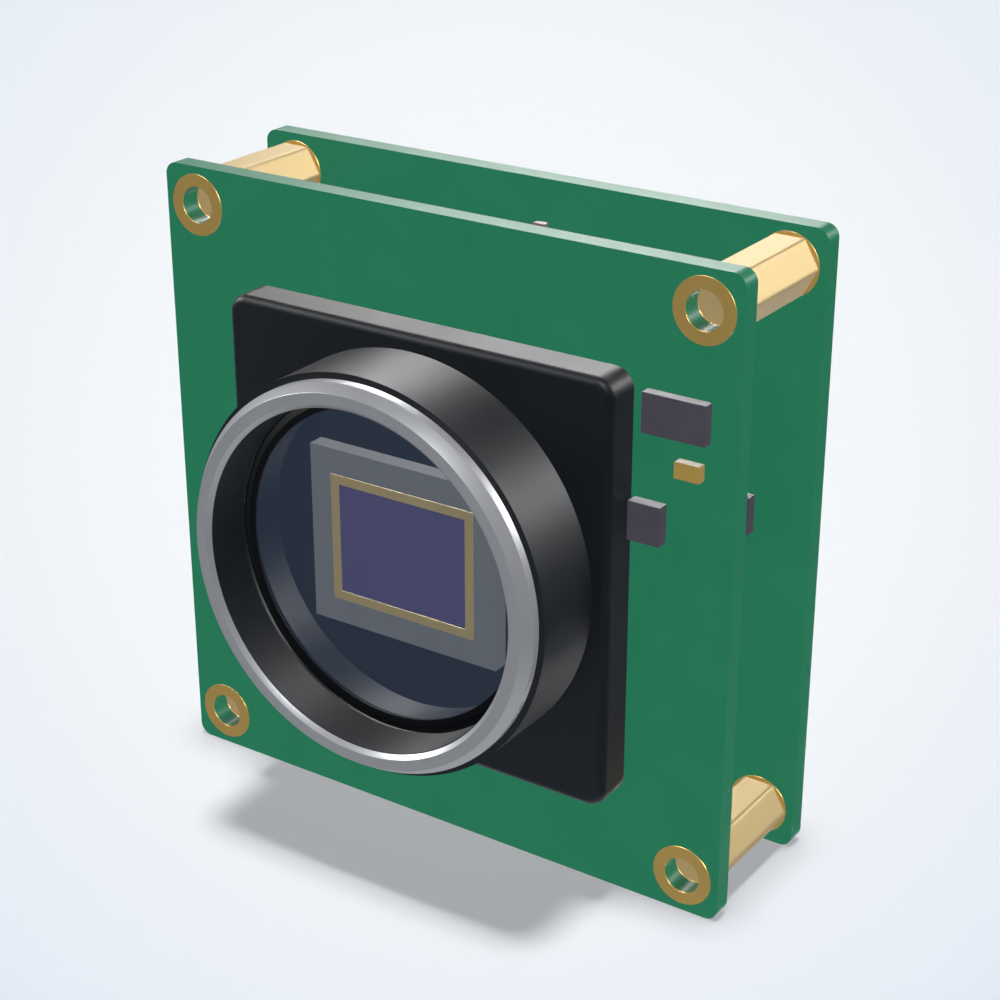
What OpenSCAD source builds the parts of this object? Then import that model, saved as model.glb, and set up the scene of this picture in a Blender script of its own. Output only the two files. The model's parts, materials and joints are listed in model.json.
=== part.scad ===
// Two-board camera module: a lens mount on a front board, carried on four posts by a rear board.
// X is to the right as seen from the lens, Z is up, and the lens looks along -Y.
// The origin is the middle of the four mounting holes, on the back face of the rear board.

/* [Boards] */
// Width of both boards
board_w = 50; // [49:0.5:60]
// Height of both boards
board_h = 50; // [49:0.5:60]
// Thickness of each board
board_t = 1.6; // [1:0.1:2.4]
// Radius of the board's corners
board_corner_r = 1; // [0.5:0.1:2.5]
// Free space between the two boards
board_gap = 10.4; // [9:0.1:16]
// Distance of each corner hole from the board's edges
hole_inset = 3; // [2.8:0.1:4]
// Diameter of the front board's corner holes
hole_d = 2.9; // [2.2:0.1:3.2]
// Diameter of the gold rings round the corner holes
pad_d = 4.82; // [4.5:0.02:5.4]
// Thickness of the gold rings
pad_t = 0.07; // [0.04:0.01:0.12]

/* [Posts] */
// Width of each hex post, flat to flat
post_af = 4.2; // [4:0.1:4.6]
// Diameter of the post's spigot in the rear board
spigot_d = 3.3; // [2.9:0.1:3.6]
// Gap between the spigot and its hole
spigot_gap = 0.05; // [0.02:0.01:0.1]
// Drill size of the tapped hole in each post
tap_d = 2.05; // [1.6:0.05:2.2]
// Depth of the tapped hole
tap_depth = 6.5; // [4:0.5:8]
// Angle of the drill's point at the tapped hole's end
tap_point = 118; // [90:1:140]
// Countersink at the tapped hole's mouth
tap_mouth = 0.25; // [0.1:0.05:0.35]

/* [Lens mount] */
// Side of the square plate
plate_w = 33.6; // [32.6:0.2:34.4]
// Thickness of the plate
plate_t = 3; // [2.6:0.1:4]
// Radius of the plate's corners
plate_corner_r = 1.5; // [1:0.1:3]
// Rounding of the plate's front edge
plate_fillet = 0.6; // [0.2:0.1:0.8]
// Diameter of the lens bore
bore_d = 26.5; // [26.3:0.1:27]
// Wall of the barrel round the lens bore
barrel_wall = 2.3; // [2.2:0.1:2.5]
// Length of the barrel in front of the plate
barrel_l = 6; // [5.6:0.1:9]
// Depth of the filter seat below the barrel's end
seat_depth = 3; // [2.6:0.1:3.2]
// Height of the cavity's floor above the front board
floor_h = 3.2; // [3:0.1:3.4]
// Step in from the lens bore to the cavity behind the filter
cavity_step = 0.55; // [0.45:0.05:0.75]
// Width of the filter's ledge inside the cavity
ledge_w = 0.3; // [0.2:0.05:0.6]
// Thickness of the filter's ledge
ledge_t = 0.4; // [0.3:0.1:0.6]
// Depth of the undercut that the retainer snaps into
undercut_depth = 0.2; // [0.16:0.02:0.3]
// Length of the undercut
undercut_l = 0.64; // [0.62:0.02:0.8]

/* [Lens ring] */
// Step in from the barrel to the bright ring
ring_step = 0.49; // [0.4:0.01:0.6]
// Length of the ring in front of the barrel
ring_l = 1.5; // [1.2:0.1:2]
// Width of the ring's outer bevel
outer_bevel_w = 0.57; // [0.3:0.01:0.7]
// Length of the ring's outer bevel
outer_bevel_l = 0.8; // [0.4:0.05:1]
// Size of the ring's inner bevel
inner_bevel = 0.37; // [0.2:0.01:0.5]
// Thickness of the barrel's black lip inside the ring
lip_w = 0.2; // [0.15:0.01:0.3]
// Gap between that lip and the ring
lip_gap = 0.02; // [0.01:0.01:0.05]
// Distance of the tongue's middle from the lens bore
tongue_inset = 1.05; // [0.9:0.05:1.15]
// Width of the tongue
tongue_w = 0.6; // [0.4:0.1:0.7]
// Length of the tongue
tongue_l = 0.9; // [0.5:0.1:1.2]
// Gap round the tongue in its groove
tongue_gap = 0.05; // [0.02:0.01:0.1]

/* [Filter] */
// Distance of the filter glass from the lens bore
glass_step = 0.5; // [0.5:0.05:0.7]
// Thickness of the filter glass
glass_t = 0.4; // [0.2:0.05:0.4]
// Width of glass that the retaining ring covers
retainer_cover = 0.56; // [0.36:0.02:0.7]
// Width of the slope round the retaining ring's face
retainer_slope = 0.51; // [0.45:0.01:0.65]
// Gap between the retaining ring and the lens bore
retainer_gap = 0.05; // [0.02:0.01:0.1]
// Thickness of the retaining ring in front of the glass
retainer_lip = 0.16; // [0.12:0.02:0.16]
// Height of the rim that snaps into the undercut
retainer_rim = 0.25; // [0.15:0.05:0.3]
// Gap between the rim and the undercut's wall
rim_gap = 0.05; // [0.02:0.01:0.1]
// Gap round the glass in the retaining ring
glass_gap = 0.05; // [0.02:0.01:0.08]

/* [Sensor] */
// Width of the sensor package
package_w = 16.6; // [15:0.1:17]
// Height of the sensor package
package_h = 14.2; // [13:0.1:15]
// Height of the package's face above the cavity's floor
package_rise = 1.15; // [0.8:0.05:1.5]
// Thickness of the package
package_t = 2.4; // [2.2:0.1:2.6]
// Width of the die
die_w = 11.4; // [10:0.1:11.8]
// Height of the die
die_h = 8.8; // [7.6:0.1:9.2]
// Thickness of the die
die_t = 0.5; // [0.3:0.05:0.8]
// Width of the gold frame's bars
frame_bar = 0.7; // [0.5:0.05:0.9]
// Thickness of the gold frame
frame_t = 0.1; // [0.06:0.02:0.2]
// Gap round the die and round the package
sensor_gap = 0.1; // [0.05:0.01:0.15]
// Width of the carrier under the package
carrier_w = 20; // [18.6:0.2:21]
// Height of the carrier under the package
carrier_h = 18; // [16.6:0.2:19]
// Cut corner of the carrier
carrier_cut = 1.6; // [1:0.1:2]
// Gap round the carrier in the mount's pocket
carrier_gap = 0.15; // [0.1:0.05:0.3]
// Diameter of the half-round contacts in the carrier's edges
castle_d = 0.5; // [0.4:0.05:0.6]
// Pitch of the contacts in the carrier's edges
castle_pitch = 1.2; // [1:0.1:1.6]

/* [Mount screws] */
// Thread diameter of the screws that hold the lens mount
screw_d = 2; // [1.6:0.1:2.2]
// Distance of the screws from the plate's edges
screw_inset = 2.9; // [2.5:0.1:3.1]
// Length of thread in the plate
screw_bite = 2.2; // [1.6:0.1:2.3]
// Diameter of the screw heads
screw_head_d = 3.8; // [3:0.1:4]
// Height of the screw heads
screw_head_h = 1.3; // [1:0.1:1.6]
// Bevel round the screw heads
screw_head_bevel = 0.4; // [0.2:0.05:0.5]
// Length of the cross recess in the heads
recess_l = 2.1; // [1.6:0.1:2.2]
// Width of the cross recess in the heads
recess_w = 0.5; // [0.3:0.05:0.6]
// Depth of the cross recess
recess_depth = 0.7; // [0.4:0.05:0.9]
// Gap between a screw and its hole in the board
screw_board_gap = 0.1; // [0.05:0.05:0.2]
// Gap between a screw and its tapped hole
thread_gap = 0.02; // [0.01:0.01:0.05]

/* [Parts beside the lens mount] */
// Width of the driver chip
driver_w = 5; // [4:0.1:5.4]
// Height of the driver chip
driver_h = 3; // [2.4:0.1:3.6]
// Thickness of the driver chip
driver_t = 0.87; // [0.6:0.01:1.2]
// Gap between the plate and the driver chip
driver_gap = 1.08; // [0.8:0.02:1.2]
// Height of the driver chip's middle
driver_z = 14.2; // [13:0.1:15]
// Width of the clock chip
clock_w = 2.6; // [2:0.1:3.4]
// Height of the clock chip
clock_h = 3; // [2:0.1:4]
// Thickness of the clock chip
clock_t = 1; // [0.7:0.05:1.4]
// Gap between the plate and the clock chip
clock_gap = 0.27; // [0.2:0.01:1]
// Height of the clock chip's middle
clock_z = 6; // [3:0.1:7]
// Width of the tantalum capacitor
tantalum_w = 2; // [1.6:0.1:2.4]
// Height of the tantalum capacitor
tantalum_h = 1.25; // [0.8:0.05:1.6]
// Thickness of the tantalum capacitor
tantalum_t = 0.8; // [0.5:0.05:1.2]
// Gap between the plate and the tantalum capacitor
tantalum_gap = 3.71; // [2:0.05:4]
// Height of the tantalum capacitor's middle
tantalum_z = 10.53; // [9.8:0.05:11]

/* [Parts between the boards] */
// Side of the bridge chip
bridge_w = 3; // [2:0.1:4]
// Thickness of the bridge chip
bridge_t = 1; // [0.6:0.05:1.4]
// Distance of the bridge chip from the board's right edge
bridge_inset = 4.65; // [3:0.05:8]
// Height of the bridge chip's middle
bridge_z = 2.5; // [-2:0.1:6]
// Width of the coupling capacitor
coupling_w = 1.05; // [0.8:0.05:1.4]
// Height of the coupling capacitor
coupling_h = 2; // [1.6:0.1:2.4]
// Thickness of the coupling capacitor
coupling_t = 0.6; // [0.4:0.05:1]
// Place of the coupling capacitor across the board
coupling_x = 1.5; // [-4:0.1:8]
// Distance of the coupling capacitor from the board's top edge
coupling_inset = 3.34; // [2:0.02:5]
// Contacts in each row of the stacking connector
stack_count = 12; // [6:1:12]
// Pitch of the stacking connector
stack_pitch = 1.27; // [1.2:0.01:1.3]
// Distance between the connector's two rows
stack_rows = 2.54; // [2.2:0.02:2.8]
// Width of the connector's square pins
stack_pin = 0.46; // [0.4:0.02:0.6]
// Depth of the connector's housings, across the rows
stack_depth = 5; // [4.6:0.1:5.6]
// Wall beyond the last contact in the row
stack_end = 1.2; // [1:0.1:2]
// Height of the socket's housing
socket_l = 5.4; // [4.8:0.1:6]
// Height of the plug's housing
plug_l = 2.1; // [1.6:0.1:2.6]
// Length of pin inside the socket
pin_bite = 3.6; // [2.4:0.1:4]
// Height of the feet under both housings
stack_foot = 0.3; // [0.25:0.05:0.4]
// Thickness of the solder tails
tail_t = 0.2; // [0.15:0.05:0.25]
// Length of the solder tails beyond the housings
tail_out = 0.8; // [0.4:0.1:1.2]
// Gap round each pin in the housings
pin_gap = 0.04; // [0.02:0.01:0.08]
// Height of the connector's middle
stack_z = -14; // [-15:0.5:-12]

/* [Parts on the back] */
// Place of the image processor across the board
processor_x = -4.5; // [-5:0.5:-3.5]
// Height of the image processor's middle
processor_z = 6; // [5.5:0.5:6.5]
// Side of the image processor
processor_w = 13; // [11:0.5:13.5]
// Thickness of the processor's base
processor_base_t = 0.4; // [0.3:0.05:0.6]
// Thickness of the processor's moulded cap
processor_cap_t = 0.75; // [0.5:0.05:1]
// Step between the processor's base and cap
processor_step = 0.4; // [0.2:0.1:0.8]
// Gap between the image processor and the memory chip
memory_gap = 3.5; // [2:0.5:4]
// Width of the memory chip
memory_w = 8; // [7:0.5:9]
// Height of the memory chip
memory_h = 11; // [10:0.5:12]
// Thickness of the memory chip
memory_t = 1; // [0.8:0.05:1.3]
// Height of the flash chip's middle
flash_z = -8; // [-8.5:0.5:-6]
// Width of the flash chip
flash_w = 4.9; // [4.6:0.1:5.2]
// Height of the flash chip's body
flash_h = 3.9; // [3.6:0.1:4.2]
// Thickness of the flash chip's body
flash_t = 1.4; // [1.2:0.1:1.6]
// Draft of the flash chip's sides
flash_draft = 0.18; // [0.1:0.02:0.25]
// Reach of the flash chip's leads beyond its body
lead_out = 1.05; // [0.9:0.05:1.2]
// Width of the flash chip's leads
lead_w = 0.42; // [0.35:0.01:0.5]
// Thickness of the flash chip's leads
lead_t = 0.2; // [0.15:0.01:0.25]
// Pitch of the flash chip's leads
lead_pitch = 1.27; // [1.2:0.01:1.3]
// Leads on each side of the flash chip
lead_count = 4; // [2:1:4]
// Distance from the image processor to the oscillator
oscillator_gap = 3.75; // [3:0.05:5]
// Width of the oscillator
oscillator_w = 3.2; // [2.6:0.1:4]
// Height of the oscillator
oscillator_h = 2.5; // [2:0.1:3]
// Thickness of the oscillator's base
oscillator_base_t = 0.35; // [0.3:0.05:0.5]
// Thickness of the oscillator's lid
oscillator_lid_t = 0.5; // [0.3:0.05:0.7]
// Step between the oscillator's base and lid
oscillator_step = 0.15; // [0.1:0.05:0.3]
// Side of the power inductors
inductor_w = 4; // [3.4:0.1:4.4]
// Pitch of the two inductors and of the regulator chips above them
inductor_pitch = 6.5; // [5.5:0.1:7]
// Height of the inductors' middle
inductor_z = -17.5; // [-18:0.5:-17]
// Height of the regulator chips' middle above the inductors'
regulator_rise = 6; // [5:0.5:6.5]
// Thickness of the power inductors
inductor_t = 2; // [1.6:0.1:2.4]
// Cut corners of the power inductors
inductor_cut = 0.7; // [0.4:0.1:1]
// Diameter of the core shown on the inductor's top
core_d = 2.8; // [2.2:0.1:3]
// Width of the ring gap round the core
core_gap = 0.2; // [0.1:0.05:0.3]
// Depth of the ring gap round the core
core_depth = 0.25; // [0.1:0.05:0.4]
// Side of the regulator chips
regulator_w = 3; // [2.4:0.1:3.4]
// Thickness of the regulator chips
regulator_t = 0.85; // [0.7:0.05:1]
// Capacitors in each row above and below the processor
row_count = 5; // [2:1:5]
// Pitch of the capacitors in those rows
row_pitch = 2.8; // [2.2:0.1:3]
// Distance of those rows from the processor
row_gap = 1.7; // [1.2:0.1:1.8]
// Capacitors beside the memory chip
column_count = 4; // [1:1:4]
// Pitch of the capacitors beside the memory chip
column_pitch = 3; // [2:0.1:3.2]
// Distance of those capacitors from the chip or coil beside them
column_gap = 2.5; // [1:0.1:3]
// Distance between the two capacitors beside each coil and regulator
pair_pitch = 2; // [1.4:0.1:2.4]
// Pitch across the board of the capacitors behind the sensor
inner_pitch = 6; // [3:0.5:6.5]
// Distance between the two rows of capacitors behind the sensor
inner_rows = 9; // [6:0.5:10]
// Distance of the resistors from the data socket's back end
resistor_gap = 1.7; // [1.3:0.1:2]
// Pitch of the resistors behind the two sockets
resistor_pitch = 2.4; // [1.4:0.1:2.8]
// Pitch of the resistors below the flash chip
pull_pitch = 1.9; // [1.4:0.1:2.4]
// Distance of those resistors from the flash chip's middle
pull_gap = 6.5; // [4.5:0.1:7]
// Length of the chip capacitors and resistors
passive_l = 1.6; // [1.4:0.1:1.8]
// Width of the chip capacitors and resistors
passive_w = 0.8; // [0.7:0.05:0.9]
// Thickness of the chip capacitors
capacitor_t = 0.8; // [0.5:0.05:0.9]
// Thickness of the chip resistors
resistor_t = 0.45; // [0.35:0.05:0.6]
// Length of the metal ends of the chip parts
end_l = 0.32; // [0.2:0.02:0.4]
// How far the metal ends stand proud of the chip parts
end_proud = 0.03; // [0.01:0.01:0.05]

/* [Data socket] */
// Width of the data socket's shell
data_w = 8.94; // [8.6:0.02:9.4]
// Height of the shell off the board
data_h = 3.16; // [3:0.02:3.4]
// Length of the shell
data_l = 7.3; // [6.5:0.1:8]
// Thickness of the shell's sheet
data_wall = 0.25; // [0.2:0.01:0.3]
// Distance of the mouth from the board's left edge
data_inset = 0.4; // [0.2:0.1:1]
// Height of the socket's middle
data_z = -4; // [-5:0.5:-2]
// Width of the tongue inside
blade_w = 6.6; // [6:0.1:6.9]
// Thickness of the tongue inside
blade_t = 0.7; // [0.6:0.02:0.8]
// Length of the tongue in front of its block
blade_l = 4.4; // [3.5:0.1:4.6]
// Distance of the tongue's tip from the shell's mouth
blade_inset = 0.6; // [0.4:0.1:1]
// Distance of the tongue's block from the shell's back end
block_inset = 0.3; // [0.2:0.1:0.6]
// Distance of the contacts from the tongue's tip
contact_inset = 0.3; // [0.1:0.1:0.6]
// Contacts on each side of the tongue
blade_count = 12; // [6:1:12]
// Pitch of the tongue's contacts
blade_pitch = 0.5; // [0.45:0.01:0.52]
// Width of the tongue's contacts
blade_contact_w = 0.27; // [0.2:0.01:0.32]
// Thickness of the tongue's contacts
blade_contact_t = 0.06; // [0.04:0.01:0.1]
// Length of the shell's solder feet
foot_l = 1.2; // [0.8:0.1:1.6]
// Width of the shell's solder feet
foot_w = 0.9; // [0.6:0.1:1.2]

/* [Trigger header] */
// Pins of the trigger header
trigger_count = 6; // [4:1:6]
// Pitch of the trigger header
trigger_pitch = 1.25; // [1.2:0.01:1.3]
// Wall beyond the last pin
trigger_end = 1.6; // [1.4:0.1:2]
// Height of the header off the board
trigger_h = 3.4; // [3.2:0.1:4]
// Length of the header
trigger_l = 4.6; // [4.2:0.1:5.2]
// Wall of the header
trigger_wall = 0.5; // [0.4:0.05:0.6]
// Back wall of the header
trigger_back = 1; // [0.8:0.1:1.4]
// Width of the header's square pins
trigger_pin = 0.4; // [0.3:0.05:0.5]
// Length of pin inside the header's mouth
trigger_reach = 2.6; // [2:0.1:3]
// Distance of the mouth from the board's left edge
trigger_inset = 0.2; // [0.1:0.1:1]
// Height of the header's middle
trigger_z = 10; // [8:0.5:11]

/* [Hidden] */

$fn = 96;
cut = 1;
both = [-1, 1];

// Heights above the rear board's back face, towards the lens
rear_top = board_t;
front_under = board_t + board_gap;
front_top = front_under + board_t;
plate_top = front_top + plate_t;
barrel_top = plate_top + barrel_l;
ring_top = barrel_top + ring_l;
seat_level = barrel_top - seat_depth;
floor_level = front_top + floor_h;
package_top = floor_level + package_rise;
package_under = package_top - package_t;
carrier_t = package_under - front_top;

// Places in the plane of the boards
hole_x = board_w / 2 - hole_inset;
hole_z = board_h / 2 - hole_inset;
screw_x = plate_w / 2 - screw_inset;
plate_edge = plate_w / 2;
spigot_hole_d = spigot_d + 2 * spigot_gap;

// Diameters that follow the lens bore
barrel_d = bore_d + 2 * barrel_wall;
cavity_d = bore_d - 2 * cavity_step;
ledge_d = cavity_d - 2 * ledge_w;
ring_d = barrel_d - 2 * ring_step;
tongue_d = bore_d + 2 * tongue_inset;
glass_d = bore_d - 2 * glass_step;
retainer_d = bore_d - 2 * retainer_gap;
retainer_face_d = retainer_d - 2 * retainer_slope;
retainer_inner_d = glass_d - 2 * retainer_cover;

// Green, gold and the other finishes
mask_green = [0.16, 0.47, 0.34];
pad_gold = [0.66, 0.52, 0.25];
post_gold = [0.93, 0.82, 0.58];
mount_black = [0.08, 0.1, 0.11];
bright_metal = [0.72, 0.73, 0.75];
tin = [0.75, 0.76, 0.77];
chip_grey = [0.26, 0.26, 0.3];
chip_black = [0.1, 0.1, 0.11];
cream = [0.86, 0.83, 0.72];

// Turns a shape drawn with its height along Z so that its height points to the lens
module facing() {
    rotate([90, 0, 0]) children();
}

// Seats a part on one of the four board faces, with its height pointing away from the board
module on_front_board(x, z) {
    translate([x, z, front_top]) children();
}

module under_front_board(x, z) {
    translate([x, z, front_under]) rotate([0, 180, 0]) children();
}

module on_rear_board(x, z) {
    translate([x, z, rear_top]) children();
}

module under_rear_board(x, z) {
    translate([x, z, 0]) rotate([0, 180, 0]) children();
}

module at_corner_holes() {
    for (side = both, level = both)
        translate([side * hole_x, level * hole_z, 0]) children();
}

module at_mount_screws() {
    for (side = both, level = both)
        translate([side * screw_x, level * screw_x, 0]) children();
}

module block(x, z, t) {
    translate([-x / 2, -z / 2, 0]) cube([x, z, t]);
}

module rounded_outline(x, z, r) {
    square([x - 2 * r, z], center = true);
    square([x, z - 2 * r], center = true);
    for (side = both, level = both)
        translate([side * (x / 2 - r), level * (z / 2 - r)]) circle(r);
}

module oblong_outline(x, z) {
    square([x - z, z], center = true);
    for (side = both)
        translate([side * (x - z) / 2, 0]) circle(d = z);
}

module cut_corner_outline(x, z, corner) {
    polygon([
        [-x / 2 + corner, -z / 2], [x / 2 - corner, -z / 2],
        [x / 2, -z / 2 + corner], [x / 2, z / 2 - corner],
        [x / 2 - corner, z / 2], [-x / 2 + corner, z / 2],
        [-x / 2, z / 2 - corner], [-x / 2, -z / 2 + corner]
    ]);
}

// One board, with a hole of the given size in each corner
module board(under, corner_hole_d) {
    translate([0, 0, under]) difference() {
        linear_extrude(board_t) rounded_outline(board_w, board_h, board_corner_r);
        at_corner_holes()
            translate([0, 0, -cut]) cylinder(h = board_t + 2 * cut, d = corner_hole_d);
    }
}

// Gold rings on both faces of one board
module pads(under, corner_hole_d) {
    for (level = [under - pad_t, under + board_t])
        at_corner_holes() translate([0, 0, level]) difference() {
            cylinder(h = pad_t, d = pad_d);
            translate([0, 0, -cut]) cylinder(h = pad_t + 2 * cut, d = corner_hole_d);
        }
}

module front_board() {
    color(mask_green) facing() difference() {
        board(front_under, hole_d);
        at_mount_screws() translate([0, 0, front_under - cut])
            cylinder(h = board_t + 2 * cut, d = screw_d + 2 * screw_board_gap);
    }
}

module front_board_pads() {
    color(pad_gold) facing() pads(front_under, hole_d);
}

module rear_board() {
    color(mask_green) facing() board(0, spigot_hole_d);
}

module rear_board_pads() {
    color(pad_gold) facing() pads(0, spigot_hole_d);
}

// A blank-ended hex post: its spigot fills the rear board's hole and is tapped from behind
module standoff(side, level) {
    hex_start = rear_top + pad_t;
    hex_l = board_gap - 2 * pad_t;
    tip_l = tap_d / 2 / tan(tap_point / 2);
    color(post_gold) facing() translate([side * hole_x, level * hole_z, 0]) difference() {
        union() {
            translate([0, 0, hex_start]) cylinder(h = hex_l, d = post_af / cos(30), $fn = 6);
            translate([0, 0, -pad_t]) cylinder(h = hex_start + 2 * pad_t, d = spigot_d);
        }
        translate([0, 0, -pad_t - cut]) cylinder(h = tap_depth + cut, d = tap_d);
        translate([0, 0, tap_depth - pad_t]) cylinder(h = tip_l, d1 = tap_d, d2 = 0);
        translate([0, 0, -pad_t])
            cylinder(h = tap_mouth, d1 = tap_d + 2 * tap_mouth, d2 = tap_d);
    }
}

module standoff_upper_left() {
    standoff(-1, 1);
}

module standoff_upper_right() {
    standoff(1, 1);
}

module standoff_lower_left() {
    standoff(-1, -1);
}

module standoff_lower_right() {
    standoff(1, -1);
}

// Half of a flat-topped dome: its rim is a quarter-round
module rim_profile(flat) {
    intersection() {
        union() {
            square([flat, plate_fillet]);
            translate([flat, 0]) circle(plate_fillet);
        }
        square([flat + plate_fillet, plate_fillet]);
    }
}

// The square plate, with a quarter-round along its front edge
module mount_plate() {
    core_r = plate_corner_r - plate_fillet;
    core_w = plate_w - 2 * plate_fillet;
    level = plate_t - plate_fillet;
    straight = plate_w - 2 * plate_corner_r;
    linear_extrude(level) rounded_outline(plate_w, plate_w, plate_corner_r);
    linear_extrude(plate_t) square([core_w, straight], center = true);
    for (turn = [0:90:270]) rotate(turn) translate([straight / 2, straight / 2, level]) {
        rotate_extrude() rim_profile(core_r);
        rotate([90, 0, 0]) linear_extrude(straight) rim_profile(core_r);
    }
}

module lens_mount() {
    groove_d = tongue_d + tongue_w + 2 * tongue_gap;
    groove_inner_d = tongue_d - tongue_w - 2 * tongue_gap;
    groove_depth = tongue_l + tongue_gap;
    lip_l = ring_l - inner_bevel;
    color(mount_black) facing() difference() {
        union() {
            translate([0, 0, front_top]) mount_plate();
            translate([0, 0, plate_top - plate_t / 2])
                cylinder(h = barrel_l + plate_t / 2, d = barrel_d);
            translate([0, 0, barrel_top - cut])
                cylinder(h = lip_l + cut, d = bore_d + 2 * lip_w);
        }
        translate([0, 0, seat_level + undercut_l])
            cylinder(h = seat_depth + ring_l + cut, d = bore_d);
        translate([0, 0, seat_level])
            cylinder(h = undercut_l, d = bore_d + 2 * undercut_depth);
        translate([0, 0, seat_level - ledge_t]) cylinder(h = ledge_t + cut / 2, d = ledge_d);
        translate([0, 0, floor_level])
            cylinder(h = seat_level - ledge_t - floor_level, d = cavity_d);
        translate([0, 0, front_top - cut])
            block(package_w + 2 * sensor_gap, package_h + 2 * sensor_gap, floor_h + 2 * cut);
        translate([0, 0, front_top - cut])
            block(carrier_w + 2 * carrier_gap, carrier_h + 2 * carrier_gap,
                carrier_t + carrier_gap + cut);
        at_mount_screws() translate([0, 0, front_top - cut])
            cylinder(h = screw_bite + thread_gap + cut, d = screw_d + 2 * thread_gap);
        translate([0, 0, barrel_top - groove_depth]) difference() {
            cylinder(h = groove_depth + cut, d = groove_d);
            translate([0, 0, -cut]) cylinder(h = groove_depth + 3 * cut, d = groove_inner_d);
        }
    }
}

// The bright ring: a tongue locates it in the barrel, and it caps the barrel's black lip
module lens_ring() {
    bore_r = bore_d / 2;
    step_r = bore_r + lip_w + lip_gap;
    bevel_end = ring_top - inner_bevel;
    ring_r = ring_d / 2;
    tongue_in = (tongue_d - tongue_w) / 2;
    tongue_out = (tongue_d + tongue_w) / 2;
    color(bright_metal) facing() rotate_extrude() polygon([
        [step_r, barrel_top], [tongue_in, barrel_top], [tongue_in, barrel_top - tongue_l],
        [tongue_out, barrel_top - tongue_l], [tongue_out, barrel_top], [ring_r, barrel_top],
        [ring_r, ring_top - outer_bevel_l], [ring_r - outer_bevel_w, ring_top],
        [bore_r + inner_bevel, ring_top], [bore_r, bevel_end], [step_r, bevel_end]
    ]);
}

module filter_glass() {
    color([0.35, 0.5, 0.7, 0.35]) facing()
        translate([0, 0, seat_level]) cylinder(h = glass_t, d = glass_d);
}

// Its rim snaps into the undercut, and its lip holds the glass on the ledge
module filter_retainer() {
    glass_top = seat_level + glass_t;
    top = glass_top + retainer_lip;
    rim_top = seat_level + retainer_rim;
    rim_r = bore_d / 2 + undercut_depth - rim_gap;
    glass_hole_r = glass_d / 2 + glass_gap;
    color(mount_black) facing() rotate_extrude() polygon([
        [retainer_inner_d / 2, glass_top], [glass_hole_r, glass_top], [glass_hole_r, seat_level],
        [rim_r, seat_level], [rim_r, rim_top], [retainer_d / 2, rim_top],
        [retainer_face_d / 2, top], [retainer_inner_d / 2, top]
    ]);
}

module sensor_package() {
    color([0.45, 0.48, 0.51]) facing() difference() {
        translate([0, 0, package_under]) block(package_w, package_h, package_t);
        translate([0, 0, package_top - die_t])
            block(die_w + sensor_gap, die_h + sensor_gap, die_t + cut);
    }
}

module bond_frame() {
    color(pad_gold) facing() translate([0, 0, package_top]) difference() {
        block(die_w + 2 * frame_bar, die_h + 2 * frame_bar, frame_t);
        translate([0, 0, -cut]) block(die_w, die_h, frame_t + 2 * cut);
    }
}

module sensor_die() {
    color([0.3, 0.27, 0.45]) facing()
        translate([0, 0, package_top - die_t]) block(die_w, die_h, die_t);
}

// The riser between board and package, with half-round contacts along its edges
module sensor_carrier() {
    castles_x = floor((carrier_w - 2 * castle_pitch) / castle_pitch / 2);
    castles_z = floor((carrier_h - 2 * castle_pitch) / castle_pitch / 2);
    color([0.13, 0.3, 0.22]) facing() translate([0, 0, front_top]) difference() {
        linear_extrude(carrier_t) difference() {
            square([carrier_w, carrier_h], center = true);
            translate([-carrier_w / 2, carrier_h / 2]) rotate(45)
                square(carrier_cut * sqrt(2), center = true);
        }
        for (side = both, i = [1 - castles_x:castles_x - 1])
            translate([i * castle_pitch, side * carrier_h / 2, -cut])
                cylinder(h = carrier_t + 2 * cut, d = castle_d, $fn = 16);
        for (side = both, i = [1 - castles_z:castles_z - 1])
            translate([side * carrier_w / 2, i * castle_pitch, -cut])
                cylinder(h = carrier_t + 2 * cut, d = castle_d, $fn = 16);
    }
}

module mount_screws() {
    bevel = screw_head_bevel;
    head_top = front_under - screw_head_h;
    color(tin) facing() at_mount_screws() difference() {
        union() {
            translate([0, 0, front_under])
                cylinder(h = board_t + screw_bite, d = screw_d);
            translate([0, 0, head_top + bevel])
                cylinder(h = screw_head_h - bevel, d = screw_head_d);
            translate([0, 0, head_top])
                cylinder(h = bevel, d1 = screw_head_d - 2 * bevel, d2 = screw_head_d);
        }
        for (turn = [0, 90])
            rotate(turn) translate([0, 0, head_top - cut])
                block(recess_l, recess_w, recess_depth + cut);
    }
}

module driver_chip() {
    color(chip_grey) facing() on_front_board(plate_edge + driver_gap + driver_w / 2, driver_z)
        block(driver_w, driver_h, driver_t);
}

module clock_chip() {
    color(chip_grey) facing() on_front_board(plate_edge + clock_gap + clock_w / 2, clock_z)
        block(clock_w, clock_h, clock_t);
}

module tantalum_capacitor() {
    color([0.8, 0.66, 0.33]) facing()
        on_front_board(plate_edge + tantalum_gap + tantalum_w / 2, tantalum_z)
            block(tantalum_w, tantalum_h, tantalum_t);
}

module bridge_chip() {
    color(chip_grey) facing() on_rear_board(board_w / 2 - bridge_inset - bridge_w / 2, bridge_z)
        block(bridge_w, bridge_w, bridge_t);
}

module coupling_capacitor() {
    color([0.45, 0.38, 0.36]) facing()
        on_rear_board(coupling_x, board_h / 2 - coupling_inset - coupling_h / 2)
            block(coupling_w, coupling_h, coupling_t);
}

// Places of the stacking connector's contacts, each with its row's side
stack_span = (stack_count - 1) * stack_pitch;
stack_w = stack_span + 2 * stack_end;

module at_stack_contacts() {
    for (row = both, i = [0:stack_count - 1])
        translate([i * stack_pitch - stack_span / 2, row * stack_rows / 2, 0])
            rotate(row > 0 ? 0 : 180) children();
}

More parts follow.
